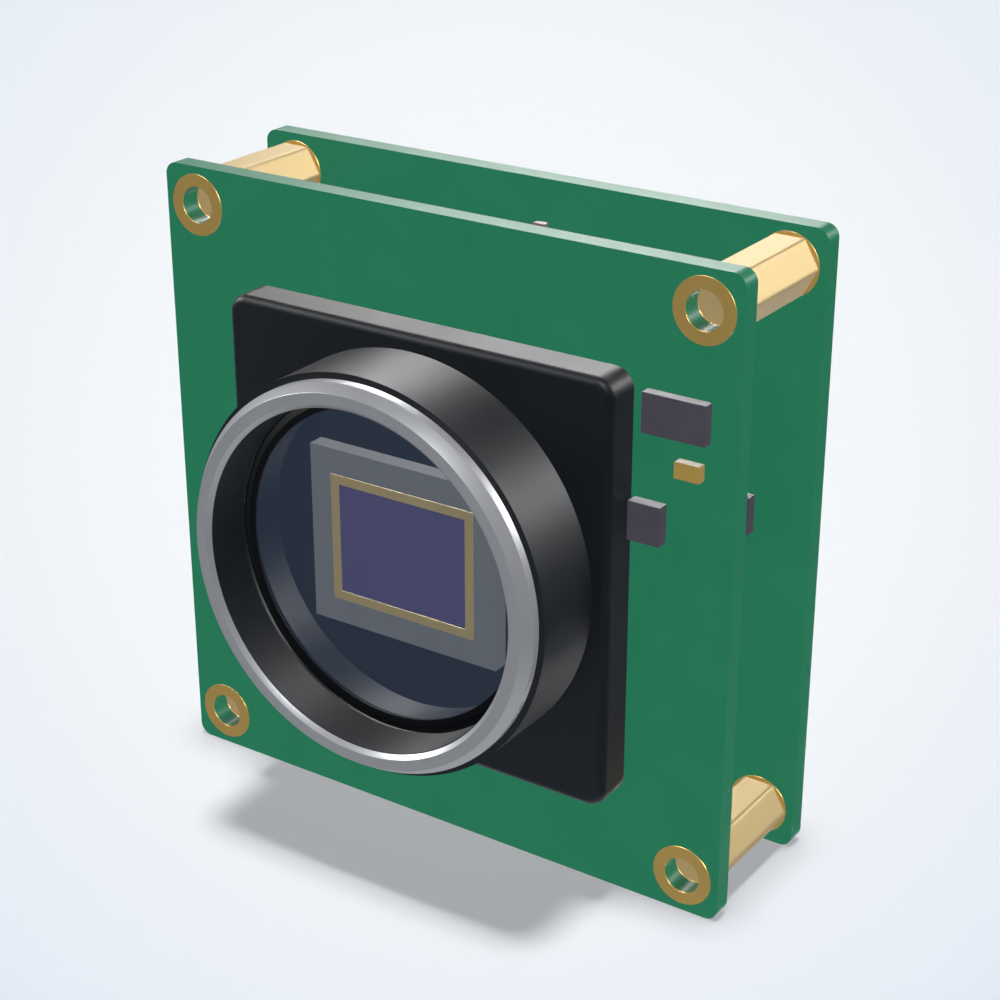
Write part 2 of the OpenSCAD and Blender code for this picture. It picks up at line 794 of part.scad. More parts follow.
// A housing on two feet, with square holes for the contacts
module stack_housing(height, hole) {
    difference() {
        union() {
            translate([0, 0, stack_foot]) block(stack_w, stack_depth, height);
            for (side = both)
                translate([side * (stack_w / 2 - stack_end / 4), 0, 0])
                    block(stack_end / 2, stack_depth / 2, stack_foot + tail_t);
        }
        at_stack_contacts() translate([0, 0, stack_foot - cut]) block(hole, hole, height + 2 * cut);
    }
}

// The flat foot of one contact, from its row to beyond the housing
module solder_tail() {
    reach = (stack_depth - stack_rows) / 2 + tail_out;
    translate([-stack_pin / 2, -stack_pin / 2, 0]) cube([stack_pin, reach + stack_pin / 2, tail_t]);
}

module plug_shell() {
    color(chip_black) facing() under_front_board(0, stack_z)
        stack_housing(plug_l, stack_pin + 2 * pin_gap);
}

module plug_pins() {
    pin_l = board_gap - stack_foot - socket_l + pin_bite;
    color(post_gold) facing() under_front_board(0, stack_z) at_stack_contacts() {
        solder_tail();
        block(stack_pin, stack_pin, pin_l);
    }
}

module socket_shell() {
    color(chip_black) facing() on_rear_board(0, stack_z)
        stack_housing(socket_l, stack_pin + 2 * pin_gap);
}

module socket_tails() {
    spring_l = stack_foot + socket_l - pin_bite - pin_gap;
    color(post_gold) facing() on_rear_board(0, stack_z) at_stack_contacts() {
        solder_tail();
        block(stack_pin, stack_pin, spring_l);
    }
}

// Places on the rear board's back face
processor_edge = processor_w / 2;
processor_at = [processor_x, processor_z];
memory_at = [processor_x + processor_edge + memory_gap + memory_w / 2, processor_z];
flash_at = [memory_at[0], flash_z];
oscillator_at = [processor_x, processor_z + processor_edge + oscillator_gap + oscillator_h / 2];
coil_x = processor_x - inductor_pitch;
inductor_places = [for (i = [0, 1]) [coil_x + i * inductor_pitch, inductor_z]];
regulator_places = [for (place = inductor_places) [place[0], place[1] + regulator_rise]];

module image_processor() {
    cap_w = processor_w - 2 * processor_step;
    color(chip_black) facing() under_rear_board(processor_at[0], processor_at[1]) {
        block(processor_w, processor_w, processor_base_t);
        translate([0, 0, processor_base_t]) block(cap_w, cap_w, processor_cap_t);
    }
}

module memory_chip() {
    color(chip_black) facing() under_rear_board(memory_at[0], memory_at[1])
        block(memory_w, memory_h, memory_t);
}

flash_lift = 0.1;
flash_mid = flash_lift + flash_t / 2;

module flash_chip() {
    half = flash_h / 2;
    tip = half - flash_draft;
    top = flash_lift + flash_t;
    color(chip_black) facing() under_rear_board(flash_at[0], flash_at[1])
        translate([-flash_w / 2, 0, 0]) rotate([90, 0, 90]) linear_extrude(flash_w) polygon([
            [-tip, flash_lift], [tip, flash_lift], [half, flash_mid],
            [tip, top], [-tip, top], [-half, flash_mid]
        ]);
}

// Gull-wing leads: out of the body's side, down, and flat on the board
module flash_leads() {
    half = flash_h / 2;
    knee = half + lead_out / 4;
    heel = half + lead_out / 2;
    toe = half + lead_out;
    high = flash_mid + lead_t / 2;
    low = flash_mid - lead_t / 2;
    span = (lead_count - 1) * lead_pitch;
    color(tin) facing() under_rear_board(flash_at[0], flash_at[1])
        for (turn = [0, 180], i = [0:lead_count - 1])
            rotate(turn) translate([i * lead_pitch - span / 2 - lead_w / 2, 0, 0])
                rotate([90, 0, 90]) linear_extrude(lead_w) polygon([
                    [half, low], [knee, low], [heel, 0], [toe, 0], [toe, lead_t],
                    [heel + lead_t, lead_t], [knee + lead_t, high], [half, high]
                ]);
}

module oscillator() {
    lid_w = oscillator_w - 2 * oscillator_step;
    lid_h = oscillator_h - 2 * oscillator_step;
    color(tin) facing() under_rear_board(oscillator_at[0], oscillator_at[1]) {
        block(oscillator_w, oscillator_h, oscillator_base_t);
        translate([0, 0, oscillator_base_t]) linear_extrude(oscillator_lid_t)
            rounded_outline(lid_w, lid_h, 2 * oscillator_step);
    }
}

module power_inductors() {
    color([0.3, 0.3, 0.31]) facing() for (place = inductor_places)
        under_rear_board(place[0], place[1]) difference() {
            linear_extrude(inductor_t) cut_corner_outline(inductor_w, inductor_w, inductor_cut);
            translate([0, 0, inductor_t - core_depth]) difference() {
                cylinder(h = core_depth + cut, d = core_d + 2 * core_gap);
                translate([0, 0, -cut]) cylinder(h = core_depth + 3 * cut, d = core_d);
            }
        }
}

module regulator_chips() {
    color(chip_black) facing() for (place = regulator_places)
        under_rear_board(place[0], place[1]) block(regulator_w, regulator_w, regulator_t);
}

// Chip parts: each place is its x, its z and whether it stands upright
row_rise = processor_edge + row_gap;
column_x = memory_at[0] + memory_w / 2 + column_gap;
pair_x = processor_x + inductor_w / 2 + column_gap;
socket_end = -board_w / 2 + data_inset + data_l;
resistor_x = socket_end + resistor_gap;
pull_z = flash_z - pull_gap;

function spread(count, pitch) = [for (i = [0:count - 1]) (i - (count - 1) / 2) * pitch];

capacitor_places = concat(
    [for (side = both, x = spread(row_count, row_pitch))
        [processor_x + x, processor_z + side * row_rise, 0]],
    [for (z = spread(column_count, column_pitch)) [column_x, memory_at[1] + z, 1]],
    [for (i = [0, 1], z = [inductor_z, inductor_z + regulator_rise])
        [pair_x + i * pair_pitch, z, 1]]
);
inner_capacitor_places = [for (z = spread(2, inner_rows), x = spread(3, inner_pitch)) [x, z, 0]];
resistor_places = concat(
    [for (middle = [data_z, trigger_z], z = spread(3, resistor_pitch)) [resistor_x, middle + z, 0]],
    [for (x = spread(4, pull_pitch)) [flash_at[0] + x, pull_z, 1]]
);

module at_chip_places(places) {
    for (place = places)
        under_rear_board(place[0], place[1]) rotate(place[2] * 90) children();
}

module at_inner_places(places) {
    for (place = places)
        under_front_board(place[0], place[1]) rotate(place[2] * 90) children();
}

module passive_body(t) {
    translate([0, 0, end_proud]) block(passive_l - 2 * end_l, passive_w, t);
}

module passive_ends(t) {
    for (side = both)
        translate([side * (passive_l - end_l) / 2, 0, 0])
            block(end_l, passive_w + 2 * end_proud, t + 2 * end_proud);
}

module capacitor_bodies() {
    color([0.55, 0.43, 0.32]) facing() {
        at_chip_places(capacitor_places) passive_body(capacitor_t);
        at_inner_places(inner_capacitor_places) passive_body(capacitor_t);
    }
}

module capacitor_ends() {
    color(tin) facing() {
        at_chip_places(capacitor_places) passive_ends(capacitor_t);
        at_inner_places(inner_capacitor_places) passive_ends(capacitor_t);
    }
}

module resistor_bodies() {
    color(chip_black) facing() at_chip_places(resistor_places) passive_body(resistor_t);
}

module resistor_ends() {
    color(tin) facing() at_chip_places(resistor_places) passive_ends(resistor_t);
}

// Lays a part on the rear board's back face with its mouth at the board's left edge.
// It is drawn with X along the edge, Y off the board and Z from the mouth inwards.
module at_left_edge(inset, z) {
    translate([-board_w / 2 + inset, z, 0]) rotate([-90, 0, 0]) rotate([0, 90, 0]) children();
}

module data_shell() {
    inner_w = data_w - 2 * data_wall;
    inner_h = data_h - 2 * data_wall;
    color(bright_metal) facing() at_left_edge(data_inset, data_z) {
        translate([0, data_h / 2, 0]) linear_extrude(data_l) difference() {
            oblong_outline(data_w, data_h);
            oblong_outline(inner_w, inner_h);
        }
        for (side = both, end = [foot_l, data_l - 2 * foot_l])
            translate([side > 0 ? (data_w - data_h) / 2 : -data_w / 2 - foot_w, 0, end])
                cube([data_h / 2 + foot_w, data_wall, foot_l]);
    }
}

// Where the tongue leaves its block, seen from the mouth
block_at = blade_inset + blade_l;

module data_tongue() {
    inner_w = data_w - 2 * data_wall;
    inner_h = data_h - 2 * data_wall;
    block_l = data_l - block_inset - block_at;
    color(chip_black) facing() at_left_edge(data_inset, data_z) translate([0, data_h / 2, 0]) {
        translate([0, 0, block_at]) linear_extrude(block_l) oblong_outline(inner_w, inner_h);
        translate([0, 0, block_at - blade_l]) linear_extrude(blade_l + cut / 2)
            square([blade_w, blade_t], center = true);
    }
}

module data_contacts() {
    span = (blade_count - 1) * blade_pitch;
    contact_l = blade_l - contact_inset;
    color(post_gold) facing() at_left_edge(data_inset, data_z) translate([0, data_h / 2, 0])
        for (side = both, i = [0:blade_count - 1])
            translate([i * blade_pitch - span / 2, side * (blade_t + blade_contact_t) / 2,
                block_at - contact_l])
                translate([-blade_contact_w / 2, -blade_contact_t / 2, 0])
                    cube([blade_contact_w, blade_contact_t, contact_l]);
}

trigger_span = (trigger_count - 1) * trigger_pitch;
trigger_w = trigger_span + 2 * trigger_end;

module at_trigger_pins(grow) {
    for (i = [0:trigger_count - 1])
        translate([i * trigger_pitch - trigger_span / 2, trigger_h / 2, 0])
            square(trigger_pin + 2 * grow, center = true);
}

// An open box with two slots in its upper wall, on the board's edge
module trigger_shell() {
    mouth_w = trigger_w - 2 * trigger_wall;
    mouth_h = trigger_h - 2 * trigger_wall;
    mouth_l = trigger_l - trigger_back;
    slot_w = trigger_pitch;
    color(cream) facing() at_left_edge(trigger_inset, trigger_z) difference() {
        translate([-trigger_w / 2, 0, 0]) cube([trigger_w, trigger_h, trigger_l]);
        translate([-mouth_w / 2, trigger_wall, -cut]) cube([mouth_w, mouth_h, mouth_l + cut]);
        for (side = both)
            translate([side * trigger_span / 2 - slot_w / 2, trigger_h / 2, -cut])
                cube([slot_w, trigger_h, mouth_l / 2 + cut]);
        translate([0, 0, -cut]) linear_extrude(trigger_l + 2 * cut) at_trigger_pins(pin_gap);
    }
}

// Each pin runs through the back wall, turns down and ends flat on the board
module trigger_pins() {
    mouth_l = trigger_l - trigger_back;
    tail_at = trigger_l + pin_gap;
    color(post_gold) facing() at_left_edge(trigger_inset, trigger_z) {
        translate([0, 0, mouth_l - trigger_reach])
            linear_extrude(trigger_reach + trigger_back + trigger_pin + pin_gap)
                at_trigger_pins(0);
        for (i = [0:trigger_count - 1])
            translate([i * trigger_pitch - trigger_span / 2 - trigger_pin / 2, 0, tail_at]) {
                cube([trigger_pin, trigger_h / 2 + trigger_pin / 2, trigger_pin]);
                cube([trigger_pin, tail_t, trigger_pin + tail_out]);
            }
    }
}

front_board();
front_board_pads();
rear_board();
rear_board_pads();
standoff_upper_left();
standoff_upper_right();
standoff_lower_left();
standoff_lower_right();
lens_mount();
lens_ring();
filter_glass();
filter_retainer();
sensor_package();
bond_frame();
sensor_die();
sensor_carrier();
mount_screws();
driver_chip();
clock_chip();
tantalum_capacitor();
bridge_chip();
coupling_capacitor();
plug_shell();
plug_pins();
socket_shell();
socket_tails();
image_processor();
memory_chip();
flash_chip();
flash_leads();
oscillator();
power_inductors();
regulator_chips();
capacitor_bodies();
capacitor_ends();
resistor_bodies();
resistor_ends();
data_shell();
data_tongue();
data_contacts();
trigger_shell();
trigger_pins();
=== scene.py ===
import json
import math

import bmesh
import bpy
import numpy as np
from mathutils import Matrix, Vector

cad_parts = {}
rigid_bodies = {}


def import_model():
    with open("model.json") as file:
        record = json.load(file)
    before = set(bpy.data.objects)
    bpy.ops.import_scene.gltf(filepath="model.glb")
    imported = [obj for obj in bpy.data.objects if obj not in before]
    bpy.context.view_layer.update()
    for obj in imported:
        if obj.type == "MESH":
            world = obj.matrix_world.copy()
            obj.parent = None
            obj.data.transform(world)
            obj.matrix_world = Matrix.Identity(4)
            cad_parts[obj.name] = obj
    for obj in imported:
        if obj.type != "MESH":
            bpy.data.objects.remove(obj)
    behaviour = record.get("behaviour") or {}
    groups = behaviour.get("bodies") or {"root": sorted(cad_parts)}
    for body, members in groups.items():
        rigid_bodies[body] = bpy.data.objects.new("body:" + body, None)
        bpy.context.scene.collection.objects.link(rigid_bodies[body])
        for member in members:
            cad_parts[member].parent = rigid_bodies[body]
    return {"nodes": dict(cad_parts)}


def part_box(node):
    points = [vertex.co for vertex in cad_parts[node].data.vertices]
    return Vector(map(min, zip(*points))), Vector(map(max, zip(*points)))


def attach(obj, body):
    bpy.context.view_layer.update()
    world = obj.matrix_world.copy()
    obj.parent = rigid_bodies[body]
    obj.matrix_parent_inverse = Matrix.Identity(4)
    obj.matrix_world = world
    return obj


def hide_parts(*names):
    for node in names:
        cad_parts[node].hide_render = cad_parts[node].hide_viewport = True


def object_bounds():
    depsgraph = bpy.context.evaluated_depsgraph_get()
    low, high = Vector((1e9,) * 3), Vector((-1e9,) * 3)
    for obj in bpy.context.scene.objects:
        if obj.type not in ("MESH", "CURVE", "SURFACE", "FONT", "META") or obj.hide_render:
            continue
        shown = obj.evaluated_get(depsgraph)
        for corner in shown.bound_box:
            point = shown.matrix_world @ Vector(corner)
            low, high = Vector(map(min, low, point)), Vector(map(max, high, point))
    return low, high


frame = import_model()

# Two-board camera module: camera, light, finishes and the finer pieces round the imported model.
# Metres, Z up, the lens looks along -Y, and the origin is the middle of the rear board's back face.
# The finer pieces are drawn in millimetres.

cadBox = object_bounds()
cadNodes = frame["nodes"]
mm = 0.001
mergeReach = 0.0000004      # metres: points of a new piece that are closer than this become one
scene = bpy.context.scene
scene.view_settings.view_transform = "Standard"


def paint(red, green, blue):
    # a screen colour from 0 to 255, as the linear colour a shader takes
    part = np.array([red, green, blue]) / 255
    line = np.where(part <= 0.04045, part / 12.92, ((part + 0.055) / 1.055) ** 2.4)
    return (*line.tolist(), 1.0)


# the photograph's camera
cameraLook = {
    "place": (0.08660, -0.13333, 0.06865),
    "forward": (-0.5112, 0.7571, -0.4067),
    "lens": 78.12,
}

cameraData = bpy.data.cameras.new("photoCamera")
cameraData.lens = cameraLook["lens"]
cameraData.sensor_width = 36
cameraData.clip_start, cameraData.clip_end = 0.005, 20
photoCamera = bpy.data.objects.new("photoCamera", cameraData)
photoCamera.location = cameraLook["place"]
photoCamera.rotation_euler = Vector(cameraLook["forward"]).to_track_quat("-Z", "Y").to_euler()
scene.collection.objects.link(photoCamera)
scene.camera = photoCamera
print("camera ready")


# Shader helpers: a value is a socket, a number or a vector
def put(tree, value, socket):
    if isinstance(value, bpy.types.NodeSocket):
        tree.links.new(value, socket)
    else:
        socket.default_value = value


def calc(tree, operation, *values):
    node = tree.nodes.new("ShaderNodeMath")
    node.operation = operation
    for value, socket in zip(values, node.inputs):
        put(tree, value, socket)
    return node.outputs[0]


def vectorCalc(tree, operation, *values):
    node = tree.nodes.new("ShaderNodeVectorMath")
    node.operation = operation
    for value, socket in zip(values, node.inputs):
        put(tree, value, socket)
    return node.outputs["Value" if operation in ("DOT_PRODUCT", "LENGTH") else "Vector"]


def mapTo(tree, value, low, high, newLow=0.0, newHigh=1.0):
    node = tree.nodes.new("ShaderNodeMapRange")
    for given, name in ((value, "Value"), (low, "From Min"), (high, "From Max"),
                        (newLow, "To Min"), (newHigh, "To Max")):
        put(tree, given, node.inputs[name])
    return node.outputs[0]


def blendColours(tree, mask, first, second):
    node = tree.nodes.new("ShaderNodeMix")
    node.data_type = "RGBA"
    for value, place in ((mask, 0), (first, 6), (second, 7)):
        put(tree, value, node.inputs[place])
    return node.outputs[2]


def ramp(tree, value, stops):
    node = tree.nodes.new("ShaderNodeValToRGB")
    bar = node.color_ramp
    while len(bar.elements) < len(stops):
        bar.elements.new(0.5)
    for element, (place, colour) in zip(bar.elements, stops):
        element.position = place
        element.color = colour
    put(tree, value, node.inputs[0])
    return node.outputs[0]


def makeGroup(name, inputs, outputs):
    # a shader group with plain number inputs, and its own input and output nodes
    group = bpy.data.node_groups.new(name, "ShaderNodeTree")
    for label, value in inputs.items():
        socket = group.interface.new_socket(label, in_out="INPUT", socket_type="NodeSocketFloat")
        socket.default_value = value
    for label in outputs:
        group.interface.new_socket(label, in_out="OUTPUT", socket_type="NodeSocketFloat")
    given = group.nodes.new("NodeGroupInput")
    result = group.nodes.new("NodeGroupOutput")
    return group, given, result


def placeGroup(tree, group, **values):
    node = tree.nodes.new("ShaderNodeGroup")
    node.node_tree = group
    for name, value in values.items():
        put(tree, value, node.inputs[name])
    return node


# world, floor and suns
roomLook = {
    "ambient": 0.11,            # what diffuse surfaces get from all sides
    "ambientTint": (0.97, 0.985, 1.0, 1),
    "pastFloor": paint(240, 244, 249),      # what the camera sees beyond the floor's edge
    "floorDrop": 0.00002,       # metres from the object down to the floor
    "floorSize": 6.0,
    "axisTilt": 0.026,          # the bright middle lies a little above the camera's axis
    "overhead": 0.56,           # share of the floor's light that casts the shadow
    "overheadAngle": 9.0,
    "ringCount": 6,             # low suns all round
    "ringStart": 15.0,          # degrees round from the front to the first of them
    "ringShare": 0.445,         # each of them, as a share of full light
    "ringLift": 7.0,            # degrees above the horizon
    "ringAngle": 2.0,
}
# cosine of the angle from the camera's axis, and the floor's colour there: a painted glow, brightest round
# the axis and paler blue away from it
paintedGlowStops = [
    (0.9400, paint(224, 232, 243)),
    (0.9517, paint(230, 238, 247)),
    (0.9745, paint(240, 243, 248)),
    (0.9850, paint(244, 248, 251)),
    (1.0000, paint(249, 250, 254)),
]
# what gloss and glass see from straight down to straight up: a dusky grey room over a pale floor
roomStops = [
    (0.00, paint(236, 240, 246)),
    (0.12, paint(200, 206, 215)),
    (0.24, paint(90, 101, 116)),
    (0.32, paint(72, 86, 104)),
    (0.50, paint(112, 117, 124)),
    (0.62, paint(128, 132, 138)),
    (1.00, paint(146, 150, 156)),
]


# painted glow: the floor's colour is brightest round the camera's axis and falls off away from it, like a
# pool of light
def paintedGlowColour(tree, direction):
    forward = Vector(cameraLook["forward"])
    forward.z += roomLook["axisTilt"]
    cosine = vectorCalc(tree, "DOT_PRODUCT", direction, tuple(forward.normalized()))
    low = paintedGlowStops[0][0]
    share = mapTo(tree, cosine, low, 1.0)
    return ramp(tree, share, [((at - low) / (1 - low), colour) for at, colour in paintedGlowStops])


world = bpy.data.worlds.new("paleRoom")
world.use_nodes = True
scene.world = world
tree = world.node_tree
tree.nodes.clear()
coordinates = tree.nodes.new("ShaderNodeTexCoord")
direction = coordinates.outputs["Generated"]
mirrored = tree.nodes.new("ShaderNodeBackground")
split = tree.nodes.new("ShaderNodeSeparateXYZ")
tree.links.new(direction, split.inputs[0])
lift = mapTo(tree, split.outputs["Z"], -1.0, 1.0)
tree.links.new(ramp(tree, lift, roomStops), mirrored.inputs["Color"])
ambient = tree.nodes.new("ShaderNodeBackground")
ambient.inputs["Color"].default_value = roomLook["ambientTint"]
ambient.inputs["Strength"].default_value = roomLook["ambient"]
backdrop = tree.nodes.new("ShaderNodeBackground")
backdrop.inputs["Color"].default_value = roomLook["pastFloor"]
rays = tree.nodes.new("ShaderNodeLightPath")
shiny = calc(tree, "MAXIMUM", rays.outputs["Is Glossy Ray"], rays.outputs["Is Transmission Ray"])
unseen = tree.nodes.new("ShaderNodeMixShader")
tree.links.new(shiny, unseen.inputs[0])
tree.links.new(ambient.outputs[0], unseen.inputs[1])
tree.links.new(mirrored.outputs[0], unseen.inputs[2])
whole = tree.nodes.new("ShaderNodeMixShader")
tree.links.new(rays.outputs["Is Camera Ray"], whole.inputs[0])
tree.links.new(unseen.outputs[0], whole.inputs[1])
tree.links.new(backdrop.outputs[0], whole.inputs[2])
worldOut = tree.nodes.new("ShaderNodeOutputWorld")
tree.links.new(whole.outputs[0], worldOut.inputs[0])

half = roomLook["floorSize"] / 2
height = cadBox[0].z - roomLook["floorDrop"]
floorCorners = [(-half, -half, height), (half, -half, height), (half, half, height), (-half, half, height)]
floorMesh = bpy.data.meshes.new("floor")
floorMesh.from_pydata(floorCorners, [], [(0, 1, 2, 3)])
floor = bpy.data.objects.new("floor", floorMesh)
scene.collection.objects.link(floor)
floorMaterial = bpy.data.materials.new("paleFloor")
floorMaterial.use_nodes = True
tree = floorMaterial.node_tree
shader = tree.nodes["Principled BSDF"]
coordinates = tree.nodes.new("ShaderNodeTexCoord")
ray = vectorCalc(tree, "SUBTRACT", coordinates.outputs["Object"], cameraLook["place"])
ray = vectorCalc(tree, "NORMALIZE", ray)
# the floor's colour carries the painted glow round the camera's axis
tree.links.new(paintedGlowColour(tree, ray), shader.inputs["Base Color"])
shader.inputs["Roughness"].default_value = 1.0
shader.inputs["Specular IOR Level"].default_value = 0.0
floorMesh.materials.append(floorMaterial)
floor.visible_glossy = False
floor.visible_transmission = False


def addSun(name, towards, share, angle, **settings):
    # a sun that shines from the direction "towards"; share 1 brings a white face turned to it to white
    data = bpy.data.lights.new(name, "SUN")
    data.energy = share * math.pi
    data.angle = math.radians(angle)
    sun = bpy.data.objects.new(name, data)
    sun.location = Vector(towards).normalized()
    sun.rotation_euler = sun.location.to_track_quat("Z", "Y").to_euler()
    scene.collection.objects.link(sun)
    for key, value in settings.items():
        setattr(sun if key.startswith("visible") else data, key, value)
    return sun


addSun("overheadSun", (0, 0, 1), roomLook["overhead"], roomLook["overheadAngle"], visible_glossy=False)
for step in range(roomLook["ringCount"]):
    turn = math.radians(step * 360 / roomLook["ringCount"] + roomLook["ringStart"])
    rise = math.radians(roomLook["ringLift"])
    towards = (math.sin(turn) * math.cos(rise), -math.cos(turn) * math.cos(rise), math.sin(rise))
    addSun(f"ringSun{step}", towards, roomLook["ringShare"], roomLook["ringAngle"],
           use_shadow=False, visible_glossy=False)

# suns that only gloss sees, for the highlights
glossSuns = {
    "glossBackLeft": {"towards": (-0.44, 0.76, 0.47), "share": 0.42, "angle": 18},
    "glossBackRight": {"towards": (0.55, 0.77, 0.32), "share": 0.50, "angle": 16},
    "glossLeft": {"towards": (-0.87, -0.29, 0.39), "share": 0.84, "angle": 5},
    "glossFrontTop": {"towards": (0.20, -0.58, 0.79), "share": 0.58, "angle": 6},
    "glossBackLow": {"towards": (0.0, 0.80, -0.60), "share": 0.035, "angle": 12},
}
for name, look in glossSuns.items():
    sun = addSun(name, look["towards"], look["share"], look["angle"], use_shadow=False,
                 visible_diffuse=False, visible_transmission=False)
    sun.data.cycles.use_multiple_importance_sampling = False    # so that nothing blocks a wide sun
print("room and suns ready")


# mottle: slow patches and a fine grain, both from noise in the object's own place
mottleLook = {"patchDetail": 3, "grainDetail": 2, "grainScale": 11.0}
mottle, given, result = makeGroup("mottle", {"Scale": 300.0, "Contrast": 1.5}, ("Mask", "Height"))
tree = mottle
place = tree.nodes.new("ShaderNodeTexCoord").outputs["Object"]
patches = tree.nodes.new("ShaderNodeTexNoise")
patches.inputs["Detail"].default_value = mottleLook["patchDetail"]
tree.links.new(place, patches.inputs["Vector"])
tree.links.new(given.outputs["Scale"], patches.inputs["Scale"])
centred = calc(tree, "SUBTRACT", patches.outputs["Fac"], 0.5)
spread = calc(tree, "MULTIPLY_ADD", centred, given.outputs["Contrast"], 0.5)
spread.node.use_clamp = True
grain = tree.nodes.new("ShaderNodeTexNoise")
grain.inputs["Detail"].default_value = mottleLook["grainDetail"]
tree.links.new(place, grain.inputs["Vector"])
grainScale = calc(tree, "MULTIPLY", given.outputs["Scale"], mottleLook["grainScale"])
tree.links.new(grainScale, grain.inputs["Scale"])
tree.links.new(spread, result.inputs["Mask"])
tree.links.new(grain.outputs["Fac"], result.inputs["Height"])

# edgeWear: how far the rounded normal turns away from the real one, broken up by noise
wearLook = {"samples": 4, "nickScale": 900, "nickRange": (0.35, 0.65), "leastWear": 0.35}
edgeWear, given, result = makeGroup("edgeWear", {"Width": 0.0001, "Gain": 4.0}, ("Mask",))
tree = edgeWear
rounded = tree.nodes.new("ShaderNodeBevel")
rounded.samples = wearLook["samples"]
tree.links.new(given.outputs["Width"], rounded.inputs["Radius"])
flat = tree.nodes.new("ShaderNodeNewGeometry").outputs["Normal"]
bend = calc(tree, "SUBTRACT", 1.0, vectorCalc(tree, "DOT_PRODUCT", rounded.outputs[0], flat))
place = tree.nodes.new("ShaderNodeTexCoord").outputs["Object"]
nicks = tree.nodes.new("ShaderNodeTexNoise")
nicks.inputs["Scale"].default_value = wearLook["nickScale"]
tree.links.new(place, nicks.inputs["Vector"])
broken = mapTo(tree, nicks.outputs["Fac"], *wearLook["nickRange"], wearLook["leastWear"], 1.0)
worn = calc(tree, "MULTIPLY", calc(tree, "MULTIPLY", bend, given.outputs["Gain"]), broken)
worn.node.use_clamp = True
tree.links.new(worn, result.inputs["Mask"])

# weave: the plain weave of the glass cloth under the green mask, threads over and under in x and z
weave, given, result = makeGroup("weave", {"Pitch": 0.0005}, ("Height",))
tree = weave
place = tree.nodes.new("ShaderNodeTexCoord").outputs["Object"]
split = tree.nodes.new("ShaderNodeSeparateXYZ")
tree.links.new(place, split.inputs[0])
waves = []
for axis in ("X", "Z"):
    turns = calc(tree, "MULTIPLY", split.outputs[axis], math.pi)
    waves.append(calc(tree, "SINE", calc(tree, "DIVIDE", turns, given.outputs["Pitch"])))
over = calc(tree, "GREATER_THAN", calc(tree, "MULTIPLY", *waves), 0.0)
warp, weft = (calc(tree, "ABSOLUTE", wave) for wave in waves)
height = calc(tree, "ADD", calc(tree, "MULTIPLY", warp, over),
              calc(tree, "MULTIPLY", weft, calc(tree, "SUBTRACT", 1.0, over)))
tree.links.new(height, result.inputs["Height"])

# turnedMarks: rings left by a lathe round the lens axis, noise on radius and depth alone
turnedMarks, given, result = makeGroup("turnedMarks", {"Pitch": 0.00005}, ("Height",))
tree = turnedMarks
place = tree.nodes.new("ShaderNodeTexCoord").outputs["Object"]
split = tree.nodes.new("ShaderNodeSeparateXYZ")
tree.links.new(place, split.inputs[0])
across = vectorCalc(tree, "LENGTH", vectorCalc(tree, "MULTIPLY", place, (1, 0, 1)))
line = tree.nodes.new("ShaderNodeCombineXYZ")
tree.links.new(calc(tree, "DIVIDE", across, given.outputs["Pitch"]), line.inputs["X"])
tree.links.new(calc(tree, "DIVIDE", split.outputs["Y"], given.outputs["Pitch"]), line.inputs["Y"])
rings = tree.nodes.new("ShaderNodeTexNoise")
rings.inputs["Scale"].default_value = 1
rings.inputs["Detail"].default_value = 2
tree.links.new(line.outputs[0], rings.inputs["Vector"])
tree.links.new(rings.outputs["Fac"], result.inputs["Height"])


def makeFinish(name, look):
    # one material: two close tints by patches, worn edges, roughness that follows the patches, and relief
    material = bpy.data.materials.new(name)
    material.use_nodes = True
    tree = material.node_tree
    shader = tree.nodes["Principled BSDF"]
    shader.inputs["Metallic"].default_value = look.get("metallic", 0.0)
    shader.inputs["Specular IOR Level"].default_value = look.get("specular", 0.3)
    shader.inputs["Alpha"].default_value = look.get("alpha", 1.0)
    scale, contrast = look.get("patches", (250, 1.5))
    patch = placeGroup(tree, mottle, Scale=scale, Contrast=contrast)
    colour = blendColours(tree, patch.outputs["Mask"], look["dark"], look["light"])
    if "edge" in look:
        width, gain = look.get("edgeSize", (0.00008, 4))
        wear = placeGroup(tree, edgeWear, Width=width, Gain=gain)
        colour = blendColours(tree, wear.outputs["Mask"], colour, look["edge"])
    tree.links.new(colour, shader.inputs["Base Color"])
    low, high = look["roughness"]
    tree.links.new(mapTo(tree, patch.outputs["Mask"], 0, 1, low, high), shader.inputs["Roughness"])
    height = patch.outputs["Height"]
    if "weave" in look:
        height = placeGroup(tree, weave, Pitch=look["weave"]).outputs["Height"]
    if "turned" in look:
        height = placeGroup(tree, turnedMarks, Pitch=look["turned"]).outputs["Height"]
    relief = tree.nodes.new("ShaderNodeBump")
    relief.inputs["Strength"].default_value = look.get("reliefShare", 0.5)
    relief.inputs["Distance"].default_value = look.get("relief", 0.000004)
    tree.links.new(height, relief.inputs["Height"])
    tree.links.new(relief.outputs[0], shader.inputs["Normal"])
    return material


